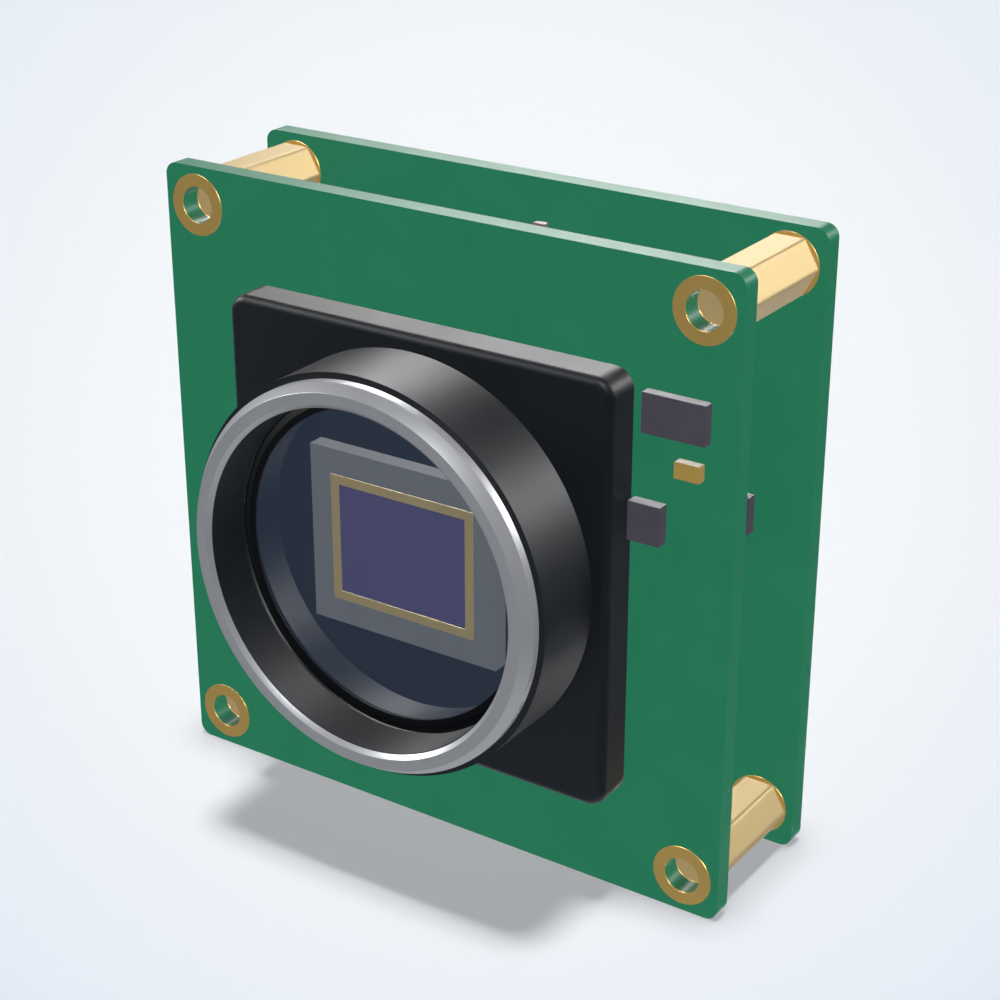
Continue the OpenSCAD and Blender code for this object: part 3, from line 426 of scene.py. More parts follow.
finishLooks = {
    "solder_mask": {
        "dark": (0.016, 0.168, 0.084, 1), "light": (0.019, 0.184, 0.093, 1),
        "specular": 0.16, "roughness": (0.36, 0.42), "weave": 0.00045,
        "relief": 0.000002, "reliefShare": 0.25,
    },
    "pad_gold": {
        "dark": (0.62, 0.40, 0.11, 1), "light": (0.68, 0.44, 0.125, 1),
        "metallic": 0.7, "roughness": (0.36, 0.44),
    },
    "post_gold": {
        "dark": (0.45, 0.34, 0.165, 1), "light": (0.50, 0.38, 0.185, 1),
        "metallic": 0.42, "specular": 0.1, "roughness": (0.48, 0.53),
    },
    "mount_black": {
        "dark": (0.0005, 0.0016, 0.0036, 1), "light": (0.0009, 0.0023, 0.0046, 1),
        "specular": 0.43, "roughness": (0.46, 0.52), "edge": (0.010, 0.014, 0.018, 1),
        "edgeSize": (0.0001, 2), "patches": (180, 1.2),
    },
    "ring_metal": {
        "dark": (0.35, 0.355, 0.37, 1), "light": (0.39, 0.395, 0.41, 1),
        "metallic": 0.5, "specular": 0.4, "roughness": (0.36, 0.41), "turned": 0.00006,
        "patches": (160, 1.2),
    },
    "retainer_black": {
        "dark": (0.0015, 0.0020, 0.0028, 1), "light": (0.0030, 0.0036, 0.0045, 1),
        "specular": 0.1, "roughness": (0.5, 0.6),
    },
    "filter_glass": {
        "dark": (0.046, 0.068, 0.118, 1), "light": (0.052, 0.075, 0.128, 1),
        "specular": 0.5, "roughness": (0.02, 0.05), "alpha": 0.2, "patches": (120, 1.0),
        "relief": 0.0000002,
    },
    "package_ceramic": {
        "dark": (0.135, 0.142, 0.150, 1), "light": (0.150, 0.158, 0.167, 1),
        "specular": 0.3, "roughness": (0.44, 0.50),
    },
    "bond_gold": {
        "dark": (0.40, 0.32, 0.125, 1), "light": (0.47, 0.37, 0.145, 1),
        "metallic": 0.3, "roughness": (0.35, 0.45),
    },
    "sensor_silicon": {
        "dark": (0.068, 0.055, 0.145, 1), "light": (0.078, 0.060, 0.160, 1),
        "specular": 0.3, "roughness": (0.15, 0.22), "relief": 0.0000005,
    },
    "carrier_green": {
        "dark": (0.010, 0.070, 0.040, 1), "light": (0.014, 0.085, 0.050, 1),
        "specular": 0.3, "roughness": (0.4, 0.5),
    },
    "screw_steel": {
        "dark": (0.50, 0.50, 0.52, 1), "light": (0.62, 0.62, 0.63, 1),
        "metallic": 1.0, "roughness": (0.25, 0.35), "edge": (0.8, 0.8, 0.8, 1),
    },
    "chip_grey": {
        "dark": (0.052, 0.047, 0.064, 1), "light": (0.060, 0.055, 0.073, 1),
        "specular": 0.3, "roughness": (0.42, 0.50), "edge": (0.10, 0.095, 0.11, 1),
        "edgeSize": (0.00005, 3), "patches": (600, 1.5),
    },
    "tantalum_yellow": {
        "dark": (0.31, 0.205, 0.046, 1), "light": (0.36, 0.235, 0.055, 1),
        "specular": 0.4, "roughness": (0.4, 0.5), "edge": (0.5, 0.38, 0.15, 1),
        "edgeSize": (0.00005, 3), "patches": (600, 1.5),
    },
    "capacitor_brown": {
        "dark": (0.14, 0.095, 0.085, 1), "light": (0.17, 0.115, 0.10, 1),
        "specular": 0.4, "roughness": (0.35, 0.45), "patches": (900, 1.5),
    },
    "chip_black": {
        "dark": (0.012, 0.012, 0.014, 1), "light": (0.020, 0.020, 0.022, 1),
        "specular": 0.3, "roughness": (0.5, 0.6), "edge": (0.05, 0.05, 0.055, 1),
        "patches": (700, 2.0), "relief": 0.000006,
    },
    "connector_black": {
        "dark": (0.010, 0.010, 0.011, 1), "light": (0.016, 0.016, 0.018, 1),
        "specular": 0.35, "roughness": (0.38, 0.48), "edge": (0.04, 0.04, 0.045, 1),
    },
    "contact_gold": {
        "dark": (0.80, 0.58, 0.22, 1), "light": (0.90, 0.68, 0.28, 1),
        "metallic": 1.0, "roughness": (0.22, 0.30),
    },
    "lead_tin": {
        "dark": (0.52, 0.53, 0.54, 1), "light": (0.66, 0.67, 0.68, 1),
        "metallic": 1.0, "roughness": (0.30, 0.42), "patches": (900, 2.0),
    },
    "lid_metal": {
        "dark": (0.60, 0.60, 0.61, 1), "light": (0.70, 0.70, 0.71, 1),
        "metallic": 1.0, "roughness": (0.25, 0.33),
    },
    "ferrite_grey": {
        "dark": (0.060, 0.060, 0.064, 1), "light": (0.095, 0.095, 0.10, 1),
        "specular": 0.3, "roughness": (0.5, 0.65), "edge": (0.16, 0.16, 0.17, 1),
        "patches": (700, 3.0), "relief": 0.000010,
    },
    "resistor_black": {
        "dark": (0.010, 0.010, 0.012, 1), "light": (0.016, 0.016, 0.018, 1),
        "specular": 0.5, "roughness": (0.25, 0.35),
    },
    "shell_steel": {
        "dark": (0.56, 0.56, 0.57, 1), "light": (0.66, 0.66, 0.67, 1),
        "metallic": 1.0, "roughness": (0.22, 0.30), "edge": (0.8, 0.8, 0.8, 1),
    },
    "mask_over_copper": {
        "dark": (0.016, 0.205, 0.098, 1), "light": (0.019, 0.220, 0.106, 1),
        "specular": 0.2, "roughness": (0.34, 0.40),
    },
    "white_ink": {
        "dark": (0.60, 0.61, 0.58, 1), "light": (0.70, 0.71, 0.68, 1),
        "specular": 0.2, "roughness": (0.6, 0.7), "patches": (900, 2.0),
    },
    "header_cream": {
        "dark": (0.62, 0.56, 0.42, 1), "light": (0.70, 0.64, 0.50, 1),
        "specular": 0.4, "roughness": (0.4, 0.5), "edge": (0.8, 0.75, 0.62, 1),
    },
}
finishes = {slot: makeFinish(slot.replace("_", " ").title().replace(" ", "") + "Finish", look)
            for slot, look in finishLooks.items()}
nodeSlots = {name: node.material_slots[0].material.name for name, node in cadNodes.items()}
for name, node in cadNodes.items():
    node.material_slots[0].material = finishes[nodeSlots[name]]
print("finishes ready")


def gridFaces(rows, columns, closeRows=False):
    # quads between neighbours on a grid of points whose columns run round and meet
    row, column = np.meshgrid(np.arange(rows if closeRows else rows - 1), np.arange(columns), indexing="ij")
    nextRow, nextColumn = (row + 1) % rows, (column + 1) % columns
    corners = (row * columns + column, row * columns + nextColumn,
               nextRow * columns + nextColumn, nextRow * columns + column)
    return np.stack(corners, -1).reshape(-1, 4).tolist()


def tubeFaces(rows, columns):
    # the same grid with its first and last row closed by a flat cap
    last = (rows - 1) * columns
    return gridFaces(rows, columns) + [list(range(columns)), list(range(last, last + columns))]


def joinShells(shells):
    # several shells as one list of points and one list of faces
    points, faces, offset = [], [], 0
    for shellPoints, shellFaces in shells:
        points.append(np.reshape(shellPoints, (-1, 3)))
        faces += [[corner + offset for corner in face] for face in shellFaces]
        offset += len(points[-1])
    return np.concatenate(points), faces


def makePiece(name, shells, slotName, standsFor=(), sharpAngle=35, finish=None):
    # shells are in millimetres; doubles are merged, normals point outwards, sharp edges stay crisp
    points, faces = joinShells(shells)
    mesh = bpy.data.meshes.new(name)
    mesh.from_pydata((points * mm).tolist(), [], faces)
    shape = bmesh.new()
    shape.from_mesh(mesh)
    bmesh.ops.remove_doubles(shape, verts=shape.verts, dist=mergeReach)
    bmesh.ops.recalc_face_normals(shape, faces=shape.faces)
    shape.to_mesh(mesh)
    shape.free()
    mesh.shade_smooth()
    mesh.set_sharp_from_angle(angle=math.radians(sharpAngle))
    mesh.materials.append(finish or finishes[slotName])
    piece = bpy.data.objects.new(name, mesh)
    scene.collection.objects.link(piece)
    shading = piece.modifiers.new("evenShading", "WEIGHTED_NORMAL")
    shading.keep_sharp = True
    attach(piece, "root")
    if standsFor:
        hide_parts(*standsFor)
    return piece


def roundCorners(corners, radius, steps=3):
    # a closed outline with an arc in place of each corner: the arc touches both sides at
    # radius / tan(half the corner's angle), and takes no more than sideShare of either
    sideShare = 0.45
    corners = np.asarray(corners, float)
    before, after = np.roll(corners, 1, 0) - corners, np.roll(corners, -1, 0) - corners
    room = sideShare * np.minimum(np.linalg.norm(before, axis=1), np.linalg.norm(after, axis=1))
    before /= np.linalg.norm(before, axis=1, keepdims=True)
    after /= np.linalg.norm(after, axis=1, keepdims=True)
    half = np.arccos(np.clip((before * after).sum(1), -1, 1)) / 2
    reach = np.minimum(radius / np.tan(half), room)
    radius = reach * np.tan(half)
    middle = before + after
    middle /= np.linalg.norm(middle, axis=1, keepdims=True)
    centre = corners + middle * (radius / np.sin(half))[:, None]
    first = corners + before * reach[:, None] - centre
    last = corners + after * reach[:, None] - centre
    sweep = (math.pi - 2 * half)[:, None]
    share = np.linspace(0, 1, steps)[None, :]
    arc = (np.sin((1 - share) * sweep)[..., None] * first[:, None]
           + np.sin(share * sweep)[..., None] * last[:, None]) / np.sin(sweep)[..., None]
    return (centre[:, None] + arc).reshape(-1, 2)


def turned(profile, angles, place=(0, 0)):
    # a profile of radius and level carried round an axis along Y; the level counts towards -Y
    radius, level = np.asarray(profile, float).T
    x = place[0] + radius[:, None] * np.cos(angles)
    z = place[1] + radius[:, None] * np.sin(angles)
    return np.stack([x, np.broadcast_to(-level[:, None], x.shape), z], -1)


def softBlock(low, high, radius, steps=3):
    # a box with round edges: the octants of a small sphere, each pushed out to its own corner
    low, high = np.asarray(low, float), np.asarray(high, float)
    radius = min(radius, 0.49 * (high - low).min())     # so that two opposite edges never meet
    quarter = np.linspace(0, 90, steps + 1)
    turn = np.concatenate([quarter + start for start in (0, 90, 180, 270)])
    rise = np.concatenate([quarter - 90, quarter])
    turnSide = np.repeat((45, 135, 225, 315), steps + 1)
    riseSide = np.repeat((-45, 45), steps + 1)

    def onSphere(rise, turn):
        rise, turn = np.meshgrid(np.radians(rise), np.radians(turn), indexing="ij")
        return np.stack([np.cos(rise) * np.cos(turn), np.cos(rise) * np.sin(turn), np.sin(rise)], -1)

    corner = np.sign(onSphere(riseSide, turnSide)) * ((high - low) / 2 - radius)
    points = (low + high) / 2 + corner + onSphere(rise, turn) * radius
    rows, columns = 2 * (steps + 1), 4 * (steps + 1)
    cap = [side * (steps + 1) for side in range(4)]
    caps = [cap, [(rows - 1) * columns + corner for corner in cap]]
    return points, gridFaces(rows, columns) + caps


def nodeTriangles(node):
    # a node's points in millimetres, and the numbers of each triangle's three points
    mesh = cadNodes[node].data
    points = np.empty(len(mesh.vertices) * 3)
    corners = np.empty(len(mesh.loops), int)
    mesh.vertices.foreach_get("co", points)
    mesh.loops.foreach_get("vertex_index", corners)
    return points.reshape(-1, 3) / mm, corners.reshape(-1, 3)


def islandBoxes(node):
    # lowest and highest corner of each separate solid: labels spread along triangles until they settle
    points, triangles = nodeTriangles(node)
    unique, index = np.unique(np.round(points, 4), axis=0, return_inverse=True)
    triangles = index.reshape(-1)[triangles]
    label, settled = np.arange(len(unique)), False
    while not settled:
        spread = label.copy()
        np.minimum.at(spread, triangles.ravel(), np.repeat(label[triangles].min(1), 3))
        settled = (spread == label).all()
        label = spread
    roots = np.unique(label)
    low = np.array([unique[label == root].min(0) for root in roots])
    high = np.array([unique[label == root].max(0) for root in roots])
    return low, high


def sidedRadius(angles, normals, distances, sharpness):
    # how far a straight-sided outline lies from its middle in each direction. Each side lies at
    # distance / cos(turn from its normal); adding high powers rounds the corner where two meet
    facing = np.cos(angles[:, None] - np.asarray(normals)[None, :]).clip(1e-6)
    return ((facing / np.asarray(distances)) ** sharpness).sum(1) ** (-1 / sharpness)


def cornerAngles(sides, perSide, first):
    # directions round an outline, closer together near its corners, where the first is a corner
    crowding = 0.9              # 0 spaces them evenly, 1 brings them together at the corners
    share = np.arange(perSide) / perSide
    share = share - crowding * np.sin(2 * np.pi * share) / (2 * np.pi)
    return first + (np.arange(sides)[:, None] + share[None, :]).ravel() * 2 * np.pi / sides


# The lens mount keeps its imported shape, and its bore gets the fine steps that stop reflections
boreLook = {
    "radius": 13.25, "seatEnd": 20.24, "frontEnd": 23.73, "pitch": 0.116, "slope": 35,
    "tolerance": 0.004,
}


def steppedBore(angles):
    # each step widens towards the front at the slope, then drops straight back to the bore
    count = round((boreLook["frontEnd"] - boreLook["seatEnd"]) / boreLook["pitch"])
    level = np.linspace(boreLook["seatEnd"], boreLook["frontEnd"], count + 1)
    depth = (level[1] - level[0]) * math.tan(math.radians(boreLook["slope"]))
    level = np.repeat(level, 2)[1:]
    radius = boreLook["radius"] + depth * (np.arange(len(level)) % 2)
    return turned(np.stack([radius, level], -1), angles), gridFaces(len(level), len(angles))


points, triangles = nodeTriangles("lens_mount")
corners = points[triangles]
onBore = np.abs(np.hypot(corners[..., 0], corners[..., 2]) - boreLook["radius"]) < boreLook["tolerance"]
onBore &= -corners[..., 1] > boreLook["seatEnd"] - boreLook["tolerance"]
plain = onBore.all(axis=1)
rim = corners[plain].reshape(-1, 3)
boreAngles = np.unique(np.round(np.arctan2(rim[:, 2], rim[:, 0]), 5))
makePiece("lens_mount_stepped", [(points, triangles[~plain].tolist()), steppedBore(boreAngles)],
          "mount_black", ["lens_mount"], sharpAngle=24)

# The bright ring, with its edges just broken
ringLook = {
    "tongueInner": 14.0, "tongueOuter": 14.6, "tongueLength": 0.9, "step": 13.47,
    "bore": 13.25, "innerBevel": 0.37, "outerBevelWidth": 0.57, "outerBevelLength": 0.8,
    "length": 1.5, "edge": 0.03, "columns": 256,
}


def ringProfile():
    # radius and level from the tongue round to the inner bevel, each corner a small arc
    outer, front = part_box("lens_ring")[1][0] / mm, -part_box("lens_ring")[0][1] / mm
    back = front - ringLook["length"]
    tongue = back - ringLook["tongueLength"]
    bevelEnd = front - ringLook["innerBevel"]
    return roundCorners([
        (ringLook["step"], back), (ringLook["tongueInner"], back), (ringLook["tongueInner"], tongue),
        (ringLook["tongueOuter"], tongue), (ringLook["tongueOuter"], back), (outer, back),
        (outer, front - ringLook["outerBevelLength"]), (outer - ringLook["outerBevelWidth"], front),
        (ringLook["bore"] + ringLook["innerBevel"], front), (ringLook["bore"], bevelEnd),
        (ringLook["step"], bevelEnd),
    ], ringLook["edge"])


ringOutline = ringProfile()
ringTurns = np.arange(ringLook["columns"]) * 2 * np.pi / ringLook["columns"]
makePiece("lens_ring_turned", [(turned(ringOutline, ringTurns),
                                gridFaces(len(ringOutline), len(ringTurns), closeRows=True))],
          "ring_metal", ["lens_ring"], sharpAngle=12)

# The hex posts: broken corners and ends, a spigot, and a tapped hole with its thread
postLook = {
    "flats": 4.2, "sharpness": 34, "chamfer": 0.09, "perSide": 16, "spigot": 3.3,
    "spigotChamfer": 0.06, "tap": 2.05, "mouth": 0.25, "threadPitch": 0.45, "threadDepth": 0.1,
    "threadTurns": 13, "rowsPerTurn": 8, "tip": 0.62, "tipRadius": 0.02,
}
padThickness = -(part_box("rear_board_pads")[0][1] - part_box("rear_board")[0][1]) / mm


def hexPost(node):
    # rows of points along the post, from its blank end back into the tapped hole: each row is a
    # soft-cornered hexagon or a circle; in the hole the radius also follows level / pitch + turn
    low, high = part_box(node)
    middle = ((low.x + high.x) / 2 / mm, (low.z + high.z) / 2 / mm)
    front, back = -low.y / mm, -high.y / mm
    angles = cornerAngles(6, postLook["perSide"], 0)
    half = postLook["flats"] / 2
    hexagon = sidedRadius(angles, np.radians(np.arange(30, 390, 60)), half, postLook["sharpness"])
    circle = np.ones_like(angles)
    chamfer, small = postLook["chamfer"], postLook["spigotChamfer"]
    boardFace = -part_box("rear_board")[0][1] / mm + padThickness
    spigot, tap, mouth = postLook["spigot"] / 2, postLook["tap"] / 2, postLook["mouth"]
    rows = [
        (hexagon - chamfer, front), (hexagon, front - chamfer), (hexagon, boardFace + chamfer),
        (hexagon - chamfer, boardFace), (circle * spigot, boardFace), (circle * spigot, back + small),
        (circle * (spigot - small), back), (circle * (tap + mouth), back),
    ]
    turns = np.arange(postLook["threadTurns"] * postLook["rowsPerTurn"]) / postLook["rowsPerTurn"]
    start = back + mouth
    wave = np.abs(((turns[:, None] + angles[None, :] / (2 * np.pi)) % 1) * 2 - 1)
    thread = tap - postLook["threadDepth"] * (wave - 0.5)
    threadLevel = start + turns * postLook["threadPitch"]
    radius = np.vstack([[row for row, _ in rows], thread, circle * tap, circle * postLook["tipRadius"]])
    end = threadLevel[-1] + postLook["threadPitch"] / 2
    level = np.concatenate([[level for _, level in rows], threadLevel, [end, end + postLook["tip"]]])
    x, z = middle[0] + radius * np.cos(angles), middle[1] + radius * np.sin(angles)
    points = np.stack([x, np.broadcast_to(-level[:, None], x.shape), z], -1)
    return points, tubeFaces(*points.shape[:2])


for corner in ("upper_left", "upper_right", "lower_left", "lower_right"):
    makePiece(f"hex_post_{corner}", [hexPost(f"standoff_{corner}")], "post_gold",
              [f"standoff_{corner}"], sharpAngle=20)
print("mount, ring and posts ready")

# Moulded and ceramic bodies: the radius of each one's edges
softEdges = {
    "driver_chip": 0.05, "clock_chip": 0.05, "tantalum_capacitor": 0.07, "bridge_chip": 0.05,
    "coupling_capacitor": 0.06, "memory_chip": 0.06, "regulator_chips": 0.05,
    "capacitor_bodies": 0.05, "capacitor_ends": 0.07, "resistor_bodies": 0.03,
    "resistor_ends": 0.05,
}
for node, radius in softEdges.items():
    boxes = zip(*islandBoxes(node))
    makePiece(f"{node}_soft", [softBlock(low, high, radius) for low, high in boxes],
              nodeSlots[node], [node])

capLap = 0.02   # a cap or lid reaches this far into its base
processorLook = {"baseThickness": 0.4, "capStep": 0.4, "baseEdge": 0.04, "capEdge": 0.12}


def nodeBox(node):
    low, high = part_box(node)
    return np.array(low) / mm, np.array(high) / mm


low, high = nodeBox("image_processor")
split = low[1] + processorLook["baseThickness"]
step = processorLook["capStep"]
makePiece("processor_body", [
    softBlock(low, (high[0], split, high[2]), processorLook["baseEdge"]),
    softBlock((low[0] + step, split - capLap, low[2] + step), (high[0] - step, high[1], high[2] - step),
              processorLook["capEdge"]),
], "chip_black", ["image_processor"])

oscillatorLook = {"baseThickness": 0.35, "baseEdge": 0.04, "lidStep": 0.15, "lidEdge": 0.1, "lidRows": 4}
low, high = nodeBox("oscillator")
split = low[1] + oscillatorLook["baseThickness"]
step = oscillatorLook["lidStep"]
makePiece("oscillator_base", [softBlock(low, (high[0], split, high[2]), oscillatorLook["baseEdge"])],
          "package_ceramic", ["oscillator"])
makePiece("oscillator_lid", [
    softBlock((low[0] + step, split - capLap, low[2] + step), (high[0] - step, high[1], high[2] - step),
              oscillatorLook["lidEdge"], oscillatorLook["lidRows"]),
], "lid_metal", ["oscillator"])

# The flash chip's leads: out, down and flat on the board, with rounded bends; the knee and the heel
# are shares of the way out
leadLook = {"thickness": 0.2, "bend": 0.09, "knee": 0.25, "heel": 0.5}


def gullWing(low, high, outward):
    # the lead's side view, drawn as distance out and height, and carried straight across its width
    reach, top, t = high[2] - low[2], high[1], leadLook["thickness"]
    knee, heel = reach * leadLook["knee"], reach * leadLook["heel"]
    side = roundCorners([
        (0, top - t), (knee, top - t), (heel, 0), (reach, 0), (reach, t), (heel + t, t),
        (knee + t, top), (0, top),
    ], leadLook["bend"])
    start = low[2] if outward > 0 else high[2]
    points = np.array([np.stack([np.full(len(side), x), side[:, 1], start + outward * side[:, 0]], -1)
                       for x in (low[0], high[0])])
    return points, tubeFaces(2, len(side))


flashMiddle = sum(nodeBox("flash_chip"))[2] / 2
makePiece("flash_leads_bent", [gullWing(low, high, math.copysign(1, low[2] - flashMiddle))
                               for low, high in zip(*islandBoxes("flash_leads"))],
          "lead_tin", ["flash_leads"])

# The power inductors: an eight-sided ferrite pot round a core, with a soldered end on two sides
inductorLook = {
    "side": 2.0, "corner": 2.334, "sharpness": 60, "columns": 128, "foot": 0.04, "edge": 0.12,
    "edgeMiddle": 0.3,          # how far in the middle of the round edge lies, as a share of it
    "gapOuter": 1.6, "gapDepth": 0.25, "core": 1.4, "coreEdge": 0.05,
    "endWidth": 1.7, "endHeight": 1.1, "endThickness": 0.06, "endEdge": 0.025,
}


def ferritePot(low, high):
    # rows of points up the side, across the top, down into the ring gap and up over the core
    angles = np.arange(inductorLook["columns"]) * 2 * np.pi / inductorLook["columns"]
    sides = np.radians(np.arange(0, 360, 45))
    distances = np.where(np.arange(8) % 2 == 0, inductorLook["side"], inductorLook["corner"])
    outline = sidedRadius(angles, sides, distances, inductorLook["sharpness"])
    circle = np.ones_like(angles)
    top, foot, edge = high[1] - low[1], inductorLook["foot"], inductorLook["edge"]
    shoulder = edge * inductorLook["edgeMiddle"]
    gapOuter, gap = inductorLook["gapOuter"], top - inductorLook["gapDepth"]
    core, coreEdge = inductorLook["core"], inductorLook["coreEdge"]
    rows = [
        (outline - foot, 0), (outline, foot), (outline, top - edge), (outline - shoulder, top - shoulder),
        (outline - edge, top), (circle * gapOuter, top), (circle * gapOuter, gap), (circle * core, gap),
        (circle * core, top - coreEdge), (circle * (core - coreEdge), top),
    ]
    radius = np.array([row for row, _ in rows])
    level = np.array([level for _, level in rows])[:, None]
    middle = (low + high) / 2
    points = np.stack([middle[0] + radius * np.cos(angles), low[1] + np.broadcast_to(level, radius.shape),
                       middle[2] + radius * np.sin(angles)], -1)
    return points, tubeFaces(*points.shape[:2])


potBoxes = list(zip(*islandBoxes("power_inductors")))
makePiece("power_inductors_pots", [ferritePot(low, high) for low, high in potBoxes],
          "ferrite_grey", ["power_inductors"], sharpAngle=30)
potEnds = []
for low, high in potBoxes:
    middle = (low + high) / 2
    width, thickness = inductorLook["endWidth"] / 2, inductorLook["endThickness"]
    endTop = low[1] + inductorLook["endHeight"]
    for edge in (low[0] - thickness, high[0]):
        potEnds.append(softBlock((edge, low[1], middle[2] - width),
                                 (edge + thickness, endTop, middle[2] + width), inductorLook["endEdge"]))
makePiece("power_inductors_ends", potEnds, "lead_tin")
print("board parts ready")

# Solder at the metal ends of the chip parts
boardSink = 0.004   # low pieces reach this far into the board
solderLook = {
    "reach": 0.34, "height": 0.62, "power": 2.2, "spread": 0.06, "overlap": 0.02, "rise": 0.012,
    "sideFall": 0.3, "narrowing": 0.18, "rows": 7, "columns": 9,
}


def solderFillet(low, high, outward):
    # a wedge: its height falls as (1 - u) ** power from the part's end to the edge of its pad, and by
    # sideFall * v ** 4 towards its sides, and it narrows by narrowing * u ** 3
    u, v = np.meshgrid(np.linspace(0, 1, solderLook["rows"]), np.linspace(-1, 1, solderLook["columns"]),
                       indexing="ij")
    middle, size = (low + high) / 2, high - low
    up = np.array([0, 1, 0])
    out = np.array([outward[0], 0, outward[1]])
    across = np.array([outward[1], 0, -outward[0]])
    depth = np.abs(out * size).sum() / 2
    width = np.abs(across * size).sum() / 2 + solderLook["spread"]
    height = (size[1] * solderLook["height"] * (1 - u) ** solderLook["power"]
              * (1 - solderLook["sideFall"] * v ** 4))
    along = depth - solderLook["overlap"] + u * solderLook["reach"]
    sideways = v * width * (1 - solderLook["narrowing"] * u ** 3)
    base = np.array([middle[0], low[1], middle[2]]) + along[..., None] * out + sideways[..., None] * across
    top = base + height[..., None] * up + solderLook["rise"] * up
    under = base - boardSink * up
    points = np.concatenate([top, under[:, ::-1]], axis=1)
    return points, tubeFaces(*points.shape[:2])


def solderAt(endNode, bodyNode):
    # one fillet per metal end, pointing away from the nearest body
    endLow, endHigh = islandBoxes(endNode)
    bodyLow, bodyHigh = islandBoxes(bodyNode)
    ends, bodies = (endLow + endHigh) / 2, (bodyLow + bodyHigh) / 2
    gaps = ends[:, None] - bodies[None, :]
    nearest = np.linalg.norm(gaps, axis=2).argmin(axis=1)
    away = np.round(gaps[np.arange(len(ends)), nearest][:, [0, 2]])
    away = away / np.abs(away).sum(axis=1, keepdims=True)
    return [solderFillet(*item) for item in zip(endLow, endHigh, away)]


makePiece("chip_part_solder", solderAt("capacitor_ends", "capacitor_bodies")
          + solderAt("resistor_ends", "resistor_bodies"), "lead_tin", sharpAngle=60)


# Copper under the green mask on the rear board's back: strips, vias and test pads
def strip(path, width, height):
    # a low trapezium carried along a path of x and z, mitred where the path bends
    path = np.asarray(path, float)
    path = path[np.concatenate([[True], np.linalg.norm(np.diff(path, axis=0), axis=1) > 1e-6])]
    ahead = np.diff(path, axis=0)
    ahead /= np.linalg.norm(ahead, axis=1, keepdims=True)
    after, before = np.vstack([ahead, ahead[-1:]]), np.vstack([ahead[:1], ahead])
    along = after + before
    along /= np.linalg.norm(along, axis=1, keepdims=True)
    side = np.stack([-along[:, 1], along[:, 0]], -1) / (along * after).sum(1, keepdims=True)
    offset = np.array([-width / 2, -width / 2 + height, width / 2 - height, width / 2])
    place = path[:, None] + side[:, None] * offset[None, :, None]
    rise = np.broadcast_to([-boardSink, height, height, -boardSink], place.shape[:2])
    return np.stack([place[..., 0], rise, place[..., 1]], -1), tubeFaces(len(path), 4)


def elbow(start, end):
    # straight, then at 45 degrees for the shorter of the two distances, then straight again
    start, end = np.asarray(start, float), np.asarray(end, float)
    gap = end - start
    diagonal = np.sign(gap) * np.abs(gap).min()
    straight = (gap - diagonal) / 2
    return [start, start + straight, start + straight + diagonal, end]


def bundle(count, start, startStep, end, endStep):
    # parallel routes: each starts and ends one step further on
    steps = np.arange(count)[:, None]
    starts, ends = np.array(start) + steps * startStep, np.array(end) + steps * endStep
    return [elbow(*route) for route in zip(starts, ends)]


def discs(places, profile, columns):
    # one small turned bump at each place
    angles = np.arange(columns) * 2 * np.pi / columns
    shape = turned(profile, angles)
    faces = tubeFaces(*shape.shape[:2])
    return [(shape + np.array([x, 0, z]), faces) for x, z in places]


def everyPair(x, z):
    # each x with each z
    x, z = np.atleast_1d(x), np.atleast_1d(z)
    return np.stack(np.broadcast_arrays(x[:, None], z), -1).reshape(-1, 2)


backLook = {
    "trace": 0.16, "power": 0.9, "height": 0.014,
    "tuck": 0.2,                # a trace runs this far under a chip
    "via": [(0.06, -0.004), (0.1, -0.012), (0.19, -0.016), (0.25, -0.01), (0.27, boardSink)],
    "testPad": [(0.4, -0.03), (0.47, -0.026), (0.5, boardSink)],
    "pinMark": [(0.16, -0.012), (0.2, -0.008), (0.22, boardSink)],
    "viaColumns": 14, "padColumns": 32, "markColumns": 28,
}
processor, memory, flash = nodeBox("image_processor"), nodeBox("memory_chip"), nodeBox("flash_chip")
dataShell, header = nodeBox("data_shell"), nodeBox("trigger_shell")
tuck = backLook["tuck"]
# how many traces, where the first starts and the step to the next start, and the same for their ends
signalRoutes = [
    (15, (processor[1][0] - tuck, 1.4), (0, 0.66), (memory[0][0] + tuck, 1.1), (0, 0.7)),
    (6, (7.2, memory[0][2] + tuck), (0.62, 0), (7.0, flash[1][2] + 1.3), (0.9, 0)),
    (5, (dataShell[1][0] + 0.1, -6.3), (0, 0.5), (processor[0][0] + tuck, 1.2), (0, 0.5)),
    (4, (dataShell[1][0] + 0.1, -3.2), (0, 0.5), (processor[0][0] + tuck, 4.2), (0, 0.5)),
    (6, (header[1][0] + 1.3, 7.0), (0, 1.2), (processor[0][0] + tuck, 7.2), (0, 0.62)),
    (8, (1.6, -9.0), (0.42, 0), (-1.4, processor[0][2] + tuck), (0.36, 0)),
]
# the traces with a via at each end
viaRoutes = [
    (7, (14.6, -19.5), (0.62, 0), (14.2, -1.5), (0.62, 0)),
    (6, (-19.6, -19.6), (0.6, 0), (-18.2, -10.4), (0.6, 0)),
    (5, (4.4, 19.6), (0.7, 0), (4.4, 13.4), (0.5, 0)),
]
powerRoutes = [
    ((-11.0, -9.6), (-7.6, -3.6)), ((-4.5, -9.6), (-4.5, -3.6)),
    ((-11.0, -15.2), (-11.0, -13.2)), ((-4.5, -15.2), (-4.5, -13.2)),
]
signals = [path for route in signalRoutes for path in bundle(*route)]
withVias = [path for route in viaRoutes for path in bundle(*route)]
traces = [strip(path, backLook["trace"], backLook["height"]) for path in signals + withVias]
traces += [strip(elbow(*route), backLook["power"], backLook["height"]) for route in powerRoutes]
makePiece("mask_over_copper", traces, "solder_mask", finish=finishes["mask_over_copper"])

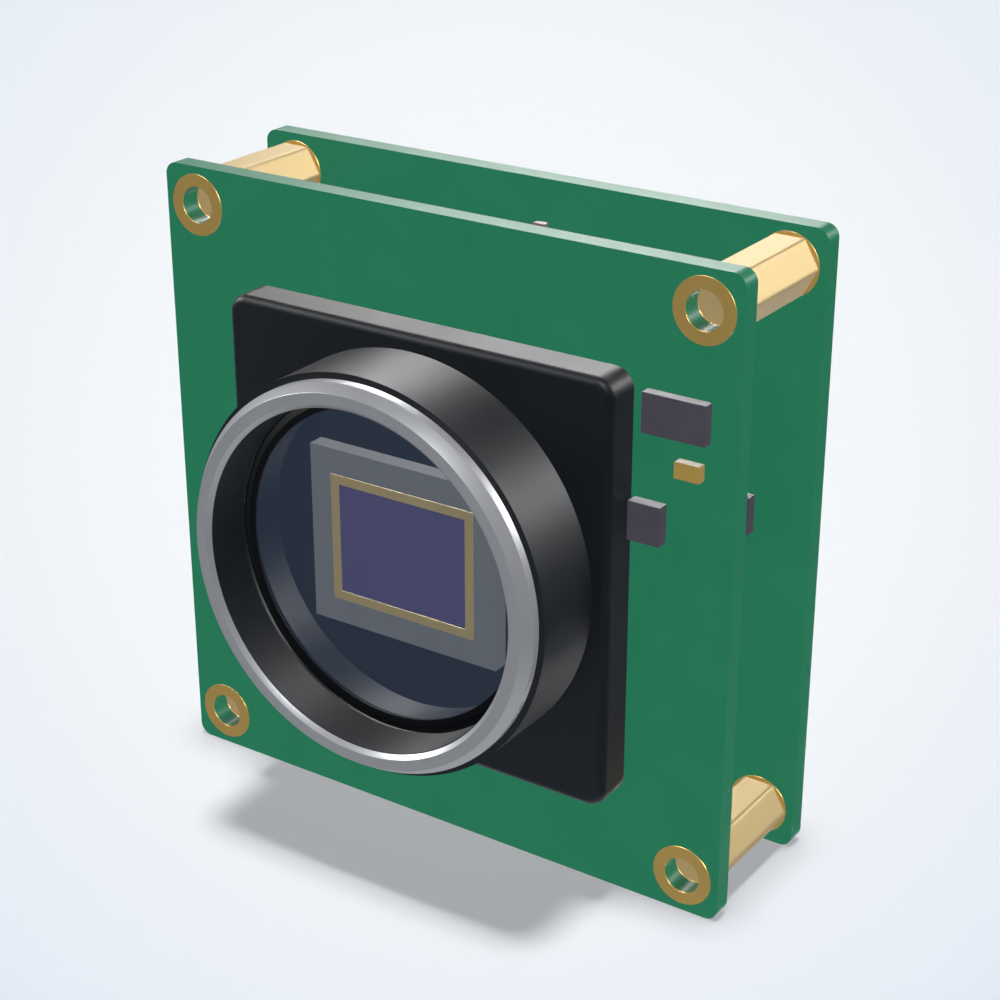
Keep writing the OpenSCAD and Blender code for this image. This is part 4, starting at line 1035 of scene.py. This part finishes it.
viaLook = {
    "connectorX": (-6.5, 7.6, 1.27), "connectorZ": (-19.9, -21.4),
    "columnX": 20.5, "columnZ": (-14, 10, 2.0), "rowX": (-14, 19, 1.5), "rowZ": 21.6,
    "edgeX": (-23.4, 23.4), "edgeZ": (-18, 19, 3.0),
    "socketZ": (-9, 14.5),      # between these, no via at the edge of low x, where the sockets are
}
edges = everyPair(viaLook["edgeX"], np.arange(*viaLook["edgeZ"]))
below, above = viaLook["socketZ"]
viaPlaces = np.vstack([
    everyPair(np.arange(*viaLook["connectorX"]), viaLook["connectorZ"]),
    [path[end] for path in withVias for end in (0, -1)],
    everyPair(viaLook["columnX"], np.arange(*viaLook["columnZ"])),
    everyPair(np.arange(*viaLook["rowX"]), viaLook["rowZ"]),
    edges[(edges[:, 0] > 0) | (edges[:, 1] < below) | (edges[:, 1] > above)],
])
makePiece("vias", discs(viaPlaces, backLook["via"], backLook["viaColumns"]), "solder_mask",
          finish=finishes["mask_over_copper"], sharpAngle=60)
testPads = np.vstack([everyPair((9.0, 10.8, 12.6, 14.4), 18.6), everyPair(-17.6, (16.6, 18.4))])
makePiece("test_pads", discs(testPads, backLook["testPad"], backLook["padColumns"]), "pad_gold")
marks = []
for low, high, inset in ((*processor, 1.3), (*memory, 0.8), (*flash, 0.55)):
    place = (low[0] + inset, high[2] - inset)
    points, faces = discs([place], backLook["pinMark"], backLook["markColumns"])[0]
    marks.append((points + np.array([0, high[1], 0]), faces))
makePiece("pin_one_marks", marks, "resistor_black")

# White ink on the back: a bracket at each corner of the larger parts
inkLook = {"line": 0.14, "gap": 0.35, "arm": 0.9, "height": 0.012}


def cornerBrackets(low, high):
    # an L at each corner of a part, a gap outside its edge
    middle, half = (low + high)[[0, 2]] / 2, (high - low)[[0, 2]] / 2 + inkLook["gap"]
    arm = inkLook["arm"]
    return [strip([middle + half * (sx, sz) - (sx * arm, 0), middle + half * (sx, sz),
                   middle + half * (sx, sz) - (0, sz * arm)], inkLook["line"], inkLook["height"])
            for sx in (-1, 1) for sz in (-1, 1)]


inked = [processor, memory, nodeBox("oscillator"), *zip(*islandBoxes("power_inductors"))]
makePiece("white_ink", [shell for low, high in inked for shell in cornerBrackets(low, high)],
          "header_cream", finish=finishes["white_ink"])
print("solder, copper and ink ready")

# as in the photograph, no surface tints the next one, and the boards leave no green on the black parts
for item in scene.objects:
    if item.type == "MESH":
        item.visible_diffuse = False
for name in ("front_board", "rear_board"):
    cadNodes[name].visible_glossy = False
